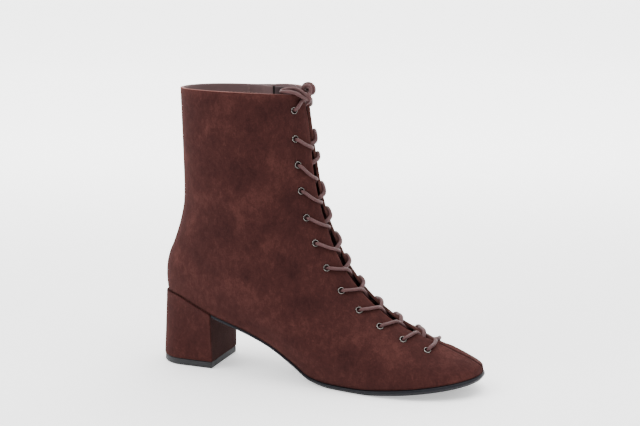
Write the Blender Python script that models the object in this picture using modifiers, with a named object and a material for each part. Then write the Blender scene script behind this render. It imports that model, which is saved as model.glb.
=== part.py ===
"""Right-foot lace-up ankle boot in suede on a covered block heel.

Every curved piece is worked out from one last function. Level loops climb from the feather
line, where upper and sole meet, to the collar, and each loop's ends and widths come from a
short table. Sizes are in millimetres. The working frame has x from the back of the heel to
the toe, y towards the inner side of the foot and z up from the floor.
"""

import math

import bmesh
import bpy
import numpy as np
from mathutils import Matrix, Vector

MM = 0.001

# Driving sizes of the boot
LENGTH = 258.0           # back of the heel to the tip of the toe
BALL_WIDTH = 77.3        # widest part of the foot, outside the upper
HEEL_HEIGHT = 55.4       # floor to the seat at the back
INSTEP_HEIGHT = 86.0     # floor to the front ridge at the bend of the ankle
COLLAR_HEIGHT = 215.0    # floor to the top edge
COLLAR_LIFT = (1.8, 0.2) # how much the top edge's outer and inner side stand above its ends
BALL_LEVEL = 3.6         # floor to the feather line under the ball
TOE_SPRING = 11.0        # rise of the feather line from the ball to the toe
TOE_SWING = 2.2          # drift of the toe towards the inner side
SWING_START = 0.66       # where that drift begins, as a share of the length
WALL = 2.0               # suede, lining and stiffener together
GAP = 0.3                # clearance between pieces that touch
ORIGIN = (129.19, -0.47) # middle of the boot's box, in the working frame

# Level loops: x as a share of LENGTH, heights in stages (0 seat or floor, 1 collar or
# instep, 2 collar), half widths as a share of BALL_WIDTH, widest point along the loop. A power
# of 2 with a corner of 2 is an ellipse, a higher pair is blunter and a lower corner is a ridge
LEVEL_COLUMNS = ("rise", "back_x", "back_up", "front_x", "front_up", "lateral", "medial",
                 "widest", "back_power", "front_power", "front_corner")
LEVELS = (
    (0.00, 0.0132, 0.000, 0.9945, 0.170, 0.498, 0.485, 0.70, 2.2, 2.45, 2.00),
    (0.05, 0.0105, 0.035, 0.9925, 0.215, 0.508, 0.492, 0.69, 2.2, 2.35, 1.95),
    (0.10, 0.0097, 0.073, 0.9672, 0.267, 0.508, 0.492, 0.68, 2.2, 2.20, 1.85),
    (0.18, 0.0120, 0.126, 0.9124, 0.333, 0.492, 0.476, 0.64, 2.2, 2.00, 1.80),
    (0.27, 0.0215, 0.186, 0.8256, 0.449, 0.472, 0.455, 0.58, 2.1, 1.90, 1.75),
    (0.36, 0.0388, 0.248, 0.7364, 0.587, 0.453, 0.440, 0.53, 2.1, 1.85, 1.70),
    (0.46, 0.0550, 0.317, 0.6512, 0.791, 0.437, 0.431, 0.49, 2.0, 1.90, 1.70),
    (0.56, 0.0682, 0.386, 0.5950, 1.000, 0.427, 0.427, 0.47, 2.0, 2.00, 1.70),
    (0.66, 0.0775, 0.461, 0.5504, 1.178, 0.422, 0.422, 0.46, 2.0, 2.00, 1.70),
    (0.76, 0.0806, 0.561, 0.5167, 1.357, 0.430, 0.430, 0.46, 2.0, 2.00, 1.70),
    (0.88, 0.0787, 0.762, 0.4884, 1.659, 0.432, 0.432, 0.47, 2.0, 2.00, 1.70),
    (1.00, 0.0752, 1.000, 0.4651, 1.988, 0.432, 0.432, 0.48, 2.0, 2.00, 1.70),
)
LEVEL_FADE = 1.5         # how fast the feather line's dip fades out up the wall

# Feather line: share of the heel's height and of the toe spring along the length
FEATHER_COLUMNS = ("along", "heel", "spring")
FEATHER = (
    (0.000, 1.000, 0.000),
    (0.062, 0.988, 0.000),
    (0.128, 0.900, 0.000),
    (0.194, 0.780, 0.000),
    (0.291, 0.626, 0.000),
    (0.380, 0.438, 0.000),
    (0.457, 0.216, 0.000),
    (0.519, 0.041, 0.000),
    (0.581, 0.000, 0.000),
    (0.659, 0.000, 0.010),
    (0.775, 0.000, 0.255),
    (0.891, 0.000, 0.618),
    (1.000, 0.000, 1.000),
)

# Waist of the last: how far the feather line pulls in under the arch
WAIST_LATERAL = 0.27
WAIST_MEDIAL = 0.40
WAIST_CENTRE = 0.40
WAIST_SPREAD = 0.20
WAIST_RISE = 0.30

# Throat and upper mesh
STATION_CLEAR = 0.012    # least turn between the heel's breast and the next station
ROUND_SHARE = 0.50       # share of even steps of turn in the stations
END_SHARE = 0.75         # share of steps along the boot that shorten towards its ends
THROAT_FIRST = 0.252     # rise of the first open row of the mesh
THROAT_COLUMNS = ("rise", "gap")
THROAT = (
    (0.232, 0.0),
    (0.270, 5.2),
    (0.310, 9.4),
    (0.450, 10.0),
    (0.600, 11.0),
    (0.740, 8.0),
    (0.830, 8.6),
    (0.935, 4.4),
    (1.000, 8.2),
)
VAMP_ROWS = 7
SHAFT_ROWS = 13
SIDE_COLUMNS = 29

# Outsole: thickness along the length, and the profile of its edge
SOLE_COLUMNS = ("along", "thick", "proud")
SOLE = (
    (0.19, 2.0, 0.2),
    (0.36, 2.0, 0.3),
    (0.48, 2.8, 0.7),
    (0.57, 3.3, 0.9),
    (0.72, 3.9, 1.0),
    (0.90, 4.3, 1.0),
    (1.00, 4.4, 1.0),
)
EDGE_COLUMNS = ("out", "depth")
SOLE_EDGE = (
    (-0.3, 0.00),
    (0.7, 0.16),
    (1.0, 0.42),
    (0.4, 0.62),
    (-0.8, 1.00),
)

# Block heel and its top lift
HEEL_BACK = 0.8
HEEL_BREAST = 50.0
HEEL_WIDTH = 46.0
HEEL_ROUND = 22.0
HEEL_PROUD = 1.3
HEEL_STEPS = 8
HEEL_SIDES = 4
LIFT_THICK = 5.0
LIFT_INSET = 0.4

# Insole and tongue
INSOLE_THICK = 2.0
TONGUE_THICK = 1.6
TONGUE_LOW = 0.205
TONGUE_HIGH = 0.985
TONGUE_ROWS = 16
TONGUE_COLUMNS = 8
TONGUE_TURN = 0.27
TONGUE_LOW_TURN = 0.08
TONGUE_NARROWING = 0.94
TONGUE_SEWN_DEPTH = 0.8
TONGUE_LACE_DEPTH = 3.5
TONGUE_RAMP = 0.12

# Eyelets and lace
# collar to each pair of eyelets, along the front ridge
EYELET_RUNS = (10.4, 31.0, 50.1, 69.0, 88.0, 107.0, 126.4, 144.6, 162.3, 180.6, 199.0, 217.8)
ROWS = len(EYELET_RUNS)
INSET_ENDS = 15.0        # ridge to eyelet at the first and last pair
INSET_MIDDLE = 19.2
INSET_POWER = 0.6
EYELET_RADIUS = 2.6
EYELET_BORE = 1.55
BARREL_RADIUS = 1.9
HOLE_RADIUS = 2.2
FLANGE = 0.55
SEAT = 0.45              # flange above the wall, which is slightly hollow under some rows
ROUND_STEPS = 8
LACE = 2.8               # diameter of the round waxed cord
# each crossing below its pair, from the second pair to the last but one
CROSS_DROPS = (11.0, 16.0, 14.5, 14.0, 14.5, 10.5, 8.5, 9.0, 6.5, 4.0)
CROSS_REACH = 0.022      # how far each strand runs past the ridge, as turn
STRAND_COLUMNS = ("share", "lift")
STRAND = (
    (0.00, 1.35),
    (0.28, 1.35),
    (0.62, 0.60),
    (0.86, 0.80),
    (1.00, 1.10),
)

# Bow at the collar: hand-chosen points in the working frame
KNOT_CENTRE = (122.8, -2.4, 209.2)
KNOT_HALF = (2.8, 3.6, 4.0)
KNOT_LATERAL = (122.3, -5.5, 206.1)
KNOT_MEDIAL = (122.6, 1.2, 207.0)
RING_LOOP = (
    (124.1, -0.7, 212.9),
    (125.3, 0.1, 214.8),
    (124.9, 0.7, 218.0),
    (122.5, 0.3, 220.2),
    (119.4, -0.9, 220.0),
    (117.6, -1.8, 217.9),
    (119.2, -2.0, 216.0),
    (121.0, -1.7, 215.0),
    (122.4, -1.8, 213.8),
)
RIM_LOOP = (
    (121.4, -6.3, 209.3),
    (119.9, -9.0, 211.2),
    (118.2, -11.3, 213.2),
    (115.3, -13.5, 215.7),
    (112.3, -15.5, 216.4),
    (109.0, -16.2, 216.1),
    (106.4, -15.6, 215.4),
    (106.6, -13.8, 216.5),
    (109.3, -12.0, 217.8),
    (112.3, -10.0, 217.8),
    (115.3, -7.6, 217.2),
    (118.6, -5.8, 216.9),
    (120.7, -5.5, 215.0),
    (121.3, -5.0, 212.4),
)
LACE_STEP = 6.0
END_LIFT = 0.012         # rise gained halfway from the first eyelet to the knot
END_SHIFT = 0.66         # turn left over there

# Inside zip on the inner side, with its slider and pull tab
ZIP_X = 81.0
ZIP_LOW = 84.0
ZIP_SLOT = 5.6
ZIP_WIDTH = 4.6
ZIP_THICK = 1.4
ZIP_RECESS = 0.1
ZIP_ROWS = 10
SLIDER_SIZE = (7.0, 1.8, 8.5)
SLIDER_HEIGHT = 205.0
LUG_SIZE = (1.0, 2.2, 2.6)
LUG_SPACING = 4.8
LUG_Z = 1.8
PIN_RADIUS = 0.45
KNUCKLE_RADIUS = 1.25
KNUCKLE_BORE = 0.8
KNUCKLE_LENGTH = 3.2
HINGE_LIFT = 1.6         # slider's face to the hinge axis
TAB_SIZE = (5.2, 1.3, 15.0)
TAB_TOP = -1.9
NECK_SIZE = (2.8, 2.4, 1.1)


def table(names, rows):
    """Turn a table of rows into a dictionary of columns."""
    values = np.array(rows, dtype=float)
    return {name: values[:, k] for k, name in enumerate(names)}


LEVEL = table(LEVEL_COLUMNS, LEVELS)
LINE = table(FEATHER_COLUMNS, FEATHER)
SOLE_TABLE = table(SOLE_COLUMNS, SOLE)
EDGE = table(EDGE_COLUMNS, SOLE_EDGE)
STRAND_TABLE = table(STRAND_COLUMNS, STRAND)
GAPS = table(THROAT_COLUMNS, THROAT)


def smooth(knots, values, at):
    """Monotone cubic through a table's rows, so that no curve overshoots a row."""
    step = np.diff(knots)
    slope = np.diff(values) / step
    same = slope[:-1] * slope[1:] > 0
    before = np.where(same, slope[:-1], 1.0)
    after = np.where(same, slope[1:], 1.0)
    weight_a = 2 * step[1:] + step[:-1]
    weight_b = step[1:] + 2 * step[:-1]
    tangent = np.empty_like(values)
    tangent[1:-1] = np.where(same, (weight_a + weight_b) / (weight_a / before + weight_b / after), 0.0)
    tangent[0] = slope[0]
    tangent[-1] = slope[-1]
    k = np.clip(np.searchsorted(knots, at, side="right") - 1, 0, len(step) - 1)
    u = np.clip((at - knots[k]) / step[k], 0.0, 1.0)
    rising = values[k] * (1 + 2 * u) * (1 - u) ** 2 + values[k + 1] * u * u * (3 - 2 * u)
    return rising + step[k] * (tangent[k] * u * (1 - u) ** 2 + tangent[k + 1] * u * u * (u - 1))


def feather(x):
    """Height of the feather line above the floor at a distance along the boot."""
    along = np.asarray(x, dtype=float) / LENGTH
    heel = smooth(LINE["along"], LINE["heel"], along) * (HEEL_HEIGHT - BALL_LEVEL)
    return BALL_LEVEL + heel + smooth(LINE["along"], LINE["spring"], along) * TOE_SPRING


def level(name, rise):
    """One column of the level table at any rise."""
    return smooth(LEVEL["rise"], LEVEL[name], rise)


def last_point(rise, turn):
    """Points of the upper's outer face.

    rise is 0 at the feather line and 1 at the collar. turn is 0 on the front ridge, -1 at
    the back by way of the outer side and +1 at the back by way of the inner side.
    """
    rise, turn = np.broadcast_arrays(np.asarray(rise, dtype=float), np.asarray(turn, dtype=float))
    rise = np.clip(rise, 0.0, 1.0)
    lateral = turn < 0
    front = np.abs(turn) < 0.5
    behind = np.cos(np.clip(1 - np.abs(turn), 0.0, 0.5) * math.pi)
    ahead = np.sin(np.clip(0.5 - np.abs(turn), 0.0, 0.5) * math.pi)
    widest = level("widest", rise)
    u = np.where(front, widest + (1 - widest) * ahead, widest * (1 - behind))
    round_front = (1 - ahead ** level("front_power", rise)) ** (1 / level("front_corner", rise))
    round_back = np.sqrt(1 - behind ** level("back_power", rise))
    half = BALL_WIDTH * np.where(lateral, level("lateral", rise), level("medial", rise))
    half = half * np.where(front, round_front, round_back)
    pinch = np.where(lateral, WAIST_LATERAL, WAIST_MEDIAL) * np.clip(1 - rise / WAIST_RISE, 0, 1) ** 2
    half = half * (1 - pinch * np.exp(-((u - WAIST_CENTRE) / WAIST_SPREAD) ** 2))
    back_x = LENGTH * level("back_x", rise)
    front_x = LENGTH * level("front_x", rise)
    back_z = HEEL_HEIGHT + level("back_up", rise) * (COLLAR_HEIGHT - HEEL_HEIGHT)
    stage = level("front_up", rise)
    front_z = np.minimum(stage, 1) * INSTEP_HEIGHT
    front_z = front_z + np.clip(stage - 1, 0, 1) * (COLLAR_HEIGHT - INSTEP_HEIGHT)
    x = back_x + u * (front_x - back_x)
    chord = feather(back_x) + u * (feather(front_x) - feather(back_x))
    z = back_z + u * (front_z - back_z) + (feather(x) - chord) * (1 - rise) ** LEVEL_FADE
    z = z + np.where(lateral, *COLLAR_LIFT) * rise ** 8 * 4 * u * (1 - u)
    swing = TOE_SWING * np.clip((x / LENGTH - SWING_START) / (1 - SWING_START), 0, 1) ** 2
    y = np.where(lateral, -half, half) + swing
    return np.stack([x, y, z], axis=-1)


def last_normal(rise, turn, step=0.004):
    """Outward unit normal of the upper's outer face."""
    across = last_point(rise, np.add(turn, step)) - last_point(rise, np.subtract(turn, step))
    upward = last_point(np.add(rise, step), turn) - last_point(np.subtract(rise, step), turn)
    normal = np.cross(across, upward)
    return normal / np.linalg.norm(normal, axis=-1, keepdims=True)


def foot_turn(x):
    """How far the feather loop has turned from the toe at a distance along the boot."""
    back = LENGTH * LEVEL["back_x"][0]
    front = LENGTH * LEVEL["front_x"][0]
    widest = LEVEL["widest"][0]
    u = np.clip((np.asarray(x, dtype=float) - back) / (front - back), 0.0, 1.0)
    behind = 1 - np.arccos(np.clip(1 - u / widest, 0.0, 1.0)) / math.pi
    ahead = 0.5 - np.arcsin(np.clip((u - widest) / (1 - widest), 0.0, 1.0)) / math.pi
    return np.where(u < widest, behind, ahead)


def stations():
    """Turns from toe to heel at which every piece along the feather line has a point.

    They mix even steps of turn, which follow the round ends, and steps along the boot, which
    follow the arch.
    """
    share = np.linspace(0.0, 1.0, SIDE_COLUMNS + 1)
    eased = (1 - END_SHARE) * share + END_SHARE * (0.5 - 0.5 * np.cos(math.pi * share))
    front = LENGTH * LEVEL["front_x"][0]
    back = LENGTH * LEVEL["back_x"][0]
    return ROUND_SHARE * share + (1 - ROUND_SHARE) * foot_turn(front + (back - front) * eased)


STATIONS = stations()


def throat_turn(rise, side):
    """How far the throat's edge stands from the front ridge on one side, as turn."""
    opening = smooth(GAPS["rise"], GAPS["gap"], rise) / 2
    half = BALL_WIDTH * level("lateral" if side < 0 else "medial", rise)
    ahead = (1 - (opening / half) ** level("front_corner", rise)) ** (1 / level("front_power", rise))
    return 0.5 - np.arcsin(ahead) / math.pi


def wall_at(x, z, side):
    """Rise and turn of the point of one side's wall at a given x and z, by Newton steps."""
    rise, turn = np.meshgrid(np.linspace(0.05, 1.0, 96), side * np.linspace(0.1, 0.9, 81), indexing="ij")
    net = last_point(rise, turn)
    best = np.argmin((net[..., 0] - x) ** 2 + (net[..., 2] - z) ** 2)
    at = np.array([rise.ravel()[best], turn.ravel()[best]])
    step = 1e-4
    for _ in range(6):
        here = last_point(*at)[[0, 2]]
        up = (last_point(at[0] - step, at[1])[[0, 2]] - here) / -step
        round_ = (last_point(at[0], at[1] + step)[[0, 2]] - here) / step
        at = at + np.linalg.solve(np.stack([up, round_], axis=1), np.array([x, z]) - here)
        at[0] = min(at[0], 1.0)
    return at


def smooth_path(points, step):
    """Points about one step apart on a smooth curve through a route's own points."""
    route = np.array(points, dtype=float)
    ends = np.vstack([2 * route[0] - route[1], route, 2 * route[-1] - route[-2]])
    pieces = []
    for k in range(len(route) - 1):
        a, b, c, d = ends[k:k + 4]
        count = max(1, round(float(np.linalg.norm(c - b)) / step))
        u = np.linspace(0, 1, count, endpoint=False)[:, None]
        bend = (2 * a - 5 * b + 4 * c - d) * u ** 2 + (3 * b - a - 3 * c + d) * u ** 3
        pieces.append(b + 0.5 * ((c - a) * u + bend))
    pieces.append(route[-1:])
    return np.vstack(pieces)


class Workshop:
    """The scene's collections, the boot's origin and its finishes."""

    def __init__(self):
        for old in list(bpy.data.objects):
            bpy.data.objects.remove(old, do_unlink=True)
        self.parts = bpy.data.collections.new("lace_up_ankle_boot")
        self.cutters = bpy.data.collections.new("boot_cutters")
        bpy.context.scene.collection.children.link(self.parts)
        bpy.context.scene.collection.children.link(self.cutters)
        self.origin = bpy.data.objects.new("boot_origin", None)
        self.parts.objects.link(self.origin)
        self.origin.location = (-ORIGIN[0] * MM, -ORIGIN[1] * MM, 0.0)
        self.finishes = {}

    def finish(self, name, colour, roughness, metallic=0.0):
        """A Principled material, made once for each name."""
        if name not in self.finishes:
            material = bpy.data.materials.new(name)
            material.use_nodes = True
            shader = material.node_tree.nodes["Principled BSDF"]
            shader.inputs["Base Color"].default_value = (*colour, 1.0)
            shader.inputs["Roughness"].default_value = roughness
            shader.inputs["Metallic"].default_value = metallic
            self.finishes[name] = material
        return self.finishes[name]

    def place(self, name, data, material):
        """Link an object for one sub-part under the boot's origin."""
        piece = bpy.data.objects.new(name, data)
        self.parts.objects.link(piece)
        piece.parent = self.origin
        if not data.materials:
            data.materials.append(material)
        return piece

    def cutter(self, name, data):
        """Link a cutter, which is kept out of the model."""
        piece = bpy.data.objects.new(name, data)
        self.cutters.objects.link(piece)
        piece.parent = self.origin
        piece.hide_render = True
        piece.display_type = "WIRE"
        return piece


def combine(target, other, operation):
    """Boolean of one object with another by the exact solver."""
    modifier = target.modifiers.new(operation.lower(), "BOOLEAN")
    modifier.object = other
    modifier.operation = operation
    modifier.solver = "EXACT"


def mesh_of(name, points, faces, closed=True):
    """A mesh from points in millimetres, welded, with its faces turned outwards."""
    data = bpy.data.meshes.new(name)
    data.from_pydata((np.asarray(points) * MM).tolist(), [], faces)
    shape = bmesh.new()
    shape.from_mesh(data)
    bmesh.ops.remove_doubles(shape, verts=shape.verts, dist=0.00002)
    if closed:
        bmesh.ops.recalc_face_normals(shape, faces=shape.faces)
    shape.to_mesh(data)
    shape.free()
    data.shade_smooth()
    data.set_sharp_from_angle(angle=math.radians(35))
    return data


def grid_faces(rows, columns):
    """Quads of a grid whose points are stored row by row, facing away from the foot."""
    faces = []
    for i in range(rows - 1):
        for j in range(columns - 1):
            a = i * columns + j
            faces.append((a, a + columns, a + columns + 1, a + 1))
    return faces


def paired_loft(name, rings):
    """Solid between rings that run along one side, round an end and back along the other.

    The two ends of each ring face each other, so point k and the k-th point from the end
    share one station, and the first and last ring are closed by strips across the stations.
    """
    count = len(rings[0])
    points = np.vstack(rings)
    faces = []
    for i in range(len(rings) - 1):
        for k in range(count):
            n = (k + 1) % count
            faces.append((i * count + k, i * count + n, (i + 1) * count + n, (i + 1) * count + k))
    for base in (0, (len(rings) - 1) * count):
        for k in range(count // 2):
            across = (base + k, base + k + 1, base + count - 2 - k, base + count - 1 - k)
            faces.append(across[:2] + across[3:] if across[1] == across[2] else across)
    return mesh_of(name, points, faces)


def plan_offset(ring, distance, outward):
    """Move a ring sideways in plan; outward is +1 for rings round the toe, -1 round the heel."""
    along = np.gradient(ring[:, :2], axis=0)
    along = along / np.linalg.norm(along, axis=1, keepdims=True)
    moved = ring.copy()
    moved[:, 0] += outward * along[:, 1] * distance
    moved[:, 1] -= outward * along[:, 0] * distance
    return moved


def feather_ring(turns):
    """Feather line along the outer side, round the end with the first turn and back again."""
    turn = np.concatenate([-turns[:0:-1], turns])
    return last_point(np.zeros_like(turn), turn)


def ridge():
    """Rise, points and distance from the collar along the front ridge, from the top down."""
    rise = np.linspace(1.0, 0.1, 901)
    points = last_point(rise, np.zeros_like(rise))
    steps = np.linalg.norm(np.diff(points, axis=0), axis=1)
    return rise, points, np.concatenate([[0.0], np.cumsum(steps)])


RIDGE_RISE, RIDGE_POINTS, RIDGE_RUN = ridge()


def ridge_rise(run):
    """Rise of the ridge at a distance below the collar."""
    return float(np.interp(run, RIDGE_RUN, RIDGE_RISE))


def eyelet_place(row, side):
    """Rise and turn of an eyelet: square to the ridge at its row, one inset away."""
    run = EYELET_RUNS[row]
    at = ridge_rise(run)
    centre = last_point(at, 0.0)
    down = last_point(ridge_rise(run + 1), 0.0) - last_point(ridge_rise(run - 1), 0.0)
    down = down / np.linalg.norm(down)
    bulge = math.sin(math.pi * row / (ROWS - 1)) ** INSET_POWER
    inset = INSET_ENDS + (INSET_MIDDLE - INSET_ENDS) * bulge
    rise, turn = np.meshgrid(np.clip(at + np.linspace(-0.08, 0.08, 161), 0, 1),
                             side * np.linspace(0.06, 0.30, 161), indexing="ij")
    reach = last_point(rise, turn) - centre
    miss = (reach @ down) ** 2 + (np.linalg.norm(reach, axis=-1) - inset) ** 2
    best = np.argmin(miss)
    return rise.ravel()[best], turn.ravel()[best]


def seat_matrix(point, normal):
    """Frame with z along the wall's normal and y as near up as it can be."""
    z = Vector(normal)
    x = Vector((0, 0, 1)).cross(z).normalized()
    y = z.cross(x)
    turn = Matrix((x, y, z)).transposed().to_4x4()
    return Matrix.Translation(Vector(point) * MM) @ turn


def make_upper(shop):
    """Hollow suede upper with lining: open at collar, throat and underneath."""
    rises = np.concatenate([np.linspace(0.0, GAPS["rise"][0], VAMP_ROWS),
                            np.linspace(THROAT_FIRST, 1.0, SHAFT_ROWS)])
    rows = []
    for rise in rises:
        outer = throat_turn(rise, -1)
        inner = throat_turn(rise, 1)
        turn = np.concatenate([-(outer + (1 - outer) * STATIONS), (inner + (1 - inner) * STATIONS)[-2::-1]])
        rows.append(last_point(np.full_like(turn, rise), turn))
    points = np.vstack(rows)
    faces = grid_faces(len(rises), 2 * SIDE_COLUMNS + 1)
    suede = shop.finish("suede_brown", (0.060, 0.020, 0.016), 0.92)
    upper = shop.place("upper", mesh_of("upper", points, faces, closed=False), suede)
    wall = upper.modifiers.new("wall", "SOLIDIFY")
    wall.thickness = WALL * MM
    wall.offset = -1
    combine(upper, eyelet_cutter(shop), "DIFFERENCE")
    combine(upper, zip_cutter(shop), "DIFFERENCE")


def eyelet_cutter(shop):
    """One cutter holding the drills for all the eyelets."""
    shape = bmesh.new()
    for side in (-1, 1):
        for row in range(ROWS):
            rise, turn = eyelet_place(row, side)
            place = seat_matrix(last_point(rise, turn), last_normal(rise, turn))
            bmesh.ops.create_cone(shape, cap_ends=True, segments=ROUND_STEPS, radius1=HOLE_RADIUS * MM,
                                  radius2=HOLE_RADIUS * MM, depth=4 * WALL * MM, matrix=place)
    data = bpy.data.meshes.new("eyelet_drills")
    shape.to_mesh(data)
    shape.free()
    return shop.cutter("eyelet_drills", data)


def box_mesh(name, size, centre):
    """A box of a given size about a given centre, in millimetres."""
    shape = bmesh.new()
    place = Matrix.Translation(Vector(centre) * MM) @ Matrix.Diagonal((*(v * MM for v in size), 1.0))
    bmesh.ops.create_cube(shape, size=1.0, matrix=place)
    data = bpy.data.meshes.new(name)
    shape.to_mesh(data)
    shape.free()
    return data


def rod_mesh(name, radius, length, centre):
    """A round rod along local x."""
    shape = bmesh.new()
    place = Matrix.Translation(Vector(centre) * MM) @ Matrix.Rotation(math.pi / 2, 4, "Y")
    bmesh.ops.create_cone(shape, cap_ends=True, segments=12, radius1=radius * MM, radius2=radius * MM,
                          depth=length * MM, matrix=place)
    data = bpy.data.meshes.new(name)
    shape.to_mesh(data)
    shape.free()
    return data


def zip_cutter(shop):
    """Slot for the zip through the inner wall, from below its stop up past the collar."""
    height = COLLAR_HEIGHT + 10 * GAP + WALL * 4 - ZIP_LOW
    centre = (ZIP_X, BALL_WIDTH / 2, ZIP_LOW + height / 2)
    return shop.cutter("zip_slot", box_mesh("zip_slot", (ZIP_SLOT, BALL_WIDTH / 2, height), centre))


def sole_bottom(x):
    """Underside of the sole: flat on the floor under the ball, clear of it elsewhere."""
    thick = smooth(SOLE_TABLE["along"], SOLE_TABLE["thick"], x / LENGTH)
    return np.maximum(0.0, feather(x) - GAP - thick)


def make_outsole(shop):
    """Thin outsole from the heel's breast to the toe, with its stepped edge."""
    start = float(foot_turn(HEEL_BREAST + 2 * GAP))
    line = feather_ring(np.append(STATIONS[STATIONS < start - STATION_CLEAR], start))
    proud = smooth(SOLE_TABLE["along"], SOLE_TABLE["proud"], line[:, 0] / LENGTH)
    top = feather(line[:, 0]) - GAP
    rings = []
    for out, depth in zip(EDGE["out"], EDGE["depth"]):
        ring = plan_offset(line, proud * out, 1)
        ring[:, 0] = np.maximum(ring[:, 0], line[0, 0])
        ring[:, 2] = top + depth * (sole_bottom(line[:, 0]) - top)
        rings.append(ring)
    rubber = shop.finish("outsole_rubber", (0.030, 0.031, 0.036), 0.55)
    shop.place("outsole", paired_loft("outsole", rings), rubber)


def heel_outline(inset):
    """D shape of the heel's base: round back in even steps, then straight sides to the breast."""
    angle = np.linspace(0, math.pi / 2, HEEL_STEPS + 1)
    centre = HEEL_BACK + HEEL_ROUND
    straight = np.linspace(centre, HEEL_BREAST - inset, HEEL_SIDES + 1)[1:]
    x = np.append(centre - (HEEL_ROUND - inset) * np.cos(angle), straight)
    y = (HEEL_WIDTH / 2 - inset) * np.append(np.sin(angle), np.ones_like(straight))
    side = np.stack([x, y, np.zeros_like(x)], axis=1)
    return np.vstack([side[:0:-1] * (1, -1, 1), side])


def make_heel(shop):
    """Covered block heel: its top follows the seat of the upper and stands a little proud."""
    base = heel_outline(0.0)
    base[:, 2] = LIFT_THICK + GAP
    back = LENGTH * LEVEL["back_x"][0]
    along = back + (base[:, 0] - HEEL_BACK) / (HEEL_BREAST - HEEL_BACK) * (HEEL_BREAST - back)
    turn = np.where(base[:, 1] < 0, -1, 1) * foot_turn(along)
    seat = plan_offset(last_point(np.zeros_like(turn), turn), HEEL_PROUD, -1)
    seat[:, 0] = np.minimum(seat[:, 0], HEEL_BREAST)
    seat[:, 2] = feather(along) - GAP
    suede = shop.finish("heel_suede", (0.058, 0.020, 0.016), 0.92)
    shop.place("heel", paired_loft("heel", [base, seat]), suede)


def make_top_lift(shop):
    """Rubber top lift under the heel, flat on the floor."""
    low = heel_outline(LIFT_INSET)
    high = low.copy()
    high[:, 2] = LIFT_THICK
    rubber = shop.finish("top_lift_rubber", (0.035, 0.036, 0.040), 0.6)
    shop.place("top_lift", paired_loft("top_lift", [low, high]), rubber)


def make_insole(shop):
    """Insole inside the upper's bottom edge, on the sole and the heel."""
    line = feather_ring(STATIONS[:-1])
    low = plan_offset(line, -(WALL + 2 * GAP), 1)
    low[:, 2] = feather(low[:, 0]) + GAP / 2
    high = low.copy()
    high[:, 2] += INSOLE_THICK
    leather = shop.finish("insole_leather", (0.130, 0.095, 0.090), 0.6)
    shop.place("insole", paired_loft("insole", [low, high]), leather)


def make_tongue(shop):
    """Tongue behind the throat, sewn in at the vamp and free of the lace above it."""
    rises = np.linspace(TONGUE_LOW, TONGUE_HIGH, TONGUE_ROWS)
    share = np.linspace(-1.0, 1.0, TONGUE_COLUMNS + 1)
    free = np.clip((rises - TONGUE_LOW) / TONGUE_RAMP, 0.0, 1.0)
    depth = WALL + TONGUE_SEWN_DEPTH + (TONGUE_LACE_DEPTH - TONGUE_SEWN_DEPTH) * free
    reach = TONGUE_LOW_TURN + (TONGUE_TURN - TONGUE_LOW_TURN) * free
    rows = []
    for rise, inward, turn in zip(rises, depth, reach):
        facing = last_normal(rise, 0.0)
        row = last_point(np.full_like(share, rise), share * turn)
        row[:, 1] *= TONGUE_NARROWING
        rows.append(row - inward * facing)
    faces = grid_faces(TONGUE_ROWS, TONGUE_COLUMNS + 1)
    points = np.vstack([row[::-1] for row in rows])
    leather = shop.finish("tongue_leather", (0.040, 0.022, 0.018), 0.7)
    tongue = shop.place("tongue", mesh_of("tongue", points, faces, closed=False), leather)
    wall = tongue.modifiers.new("wall", "SOLIDIFY")
    wall.thickness = TONGUE_THICK * MM
    wall.offset = -1


def eyelet_mesh():
    """Turned eyelet: a flange over the suede and a barrel through it, about local z."""
    profile = [(EYELET_BORE, SEAT + FLANGE), (EYELET_RADIUS, SEAT + FLANGE / 2), (EYELET_RADIUS, SEAT),
               (BARREL_RADIUS, SEAT), (EYELET_BORE, -WALL)]
    shape = bmesh.new()
    ring = [shape.verts.new((r * MM, 0.0, z * MM)) for r, z in profile]
    edges = [shape.edges.new((ring[k], ring[(k + 1) % len(ring)])) for k in range(len(ring))]
    bmesh.ops.spin(shape, geom=ring + edges, axis=(0, 0, 1), cent=(0, 0, 0), angle=2 * math.pi,
                   steps=ROUND_STEPS, use_merge=True)
    bmesh.ops.remove_doubles(shape, verts=shape.verts, dist=0.00002)
    bmesh.ops.recalc_face_normals(shape, faces=shape.faces)
    data = bpy.data.meshes.new("eyelet")
    shape.to_mesh(data)
    shape.free()
    data.shade_smooth()
    data.set_sharp_from_angle(angle=math.radians(35))
    return data


def make_eyelets(shop):
    """Two rows of metal eyelets, each square to the wall."""
    metal = shop.finish("gunmetal", (0.330, 0.310, 0.300), 0.30, 1.0)
    data = eyelet_mesh()
    for side, name in ((-1, "lateral"), (1, "medial")):
        for row in range(ROWS):
            rise, turn = eyelet_place(row, side)
            piece = shop.place(f"eyelet_{name}_{row + 1:02d}", data, metal)
            piece.matrix_local = seat_matrix(last_point(rise, turn), last_normal(rise, turn))


def strand_points(start, end, lifts):
    """Path over the wall between two places given as rise and turn, at given clearances."""
    share = STRAND_TABLE["share"][:, None]
    place = np.array(start) * (1 - share) + np.array(end) * share
    clear = (LACE / 2 + GAP + lifts)[:, None]
    points = last_point(place[:, 0], place[:, 1])
    return points + clear * last_normal(place[:, 0], place[:, 1])


def lace_tube(shop, name, points, cord):
    """A length of lace as a bevelled curve with closed ends."""
    data = bpy.data.curves.new(name, "CURVE")
    data.dimensions = "3D"
    data.bevel_depth = LACE / 2 * MM
    data.bevel_resolution = 1
    data.use_fill_caps = True
    spline = data.splines.new("POLY")
    spline.points.add(len(points) - 1)
    spline.points.foreach_set("co", np.hstack([np.asarray(points) * MM, np.ones((len(points), 1))]).ravel())
    return shop.place(name, data, cord)


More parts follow.
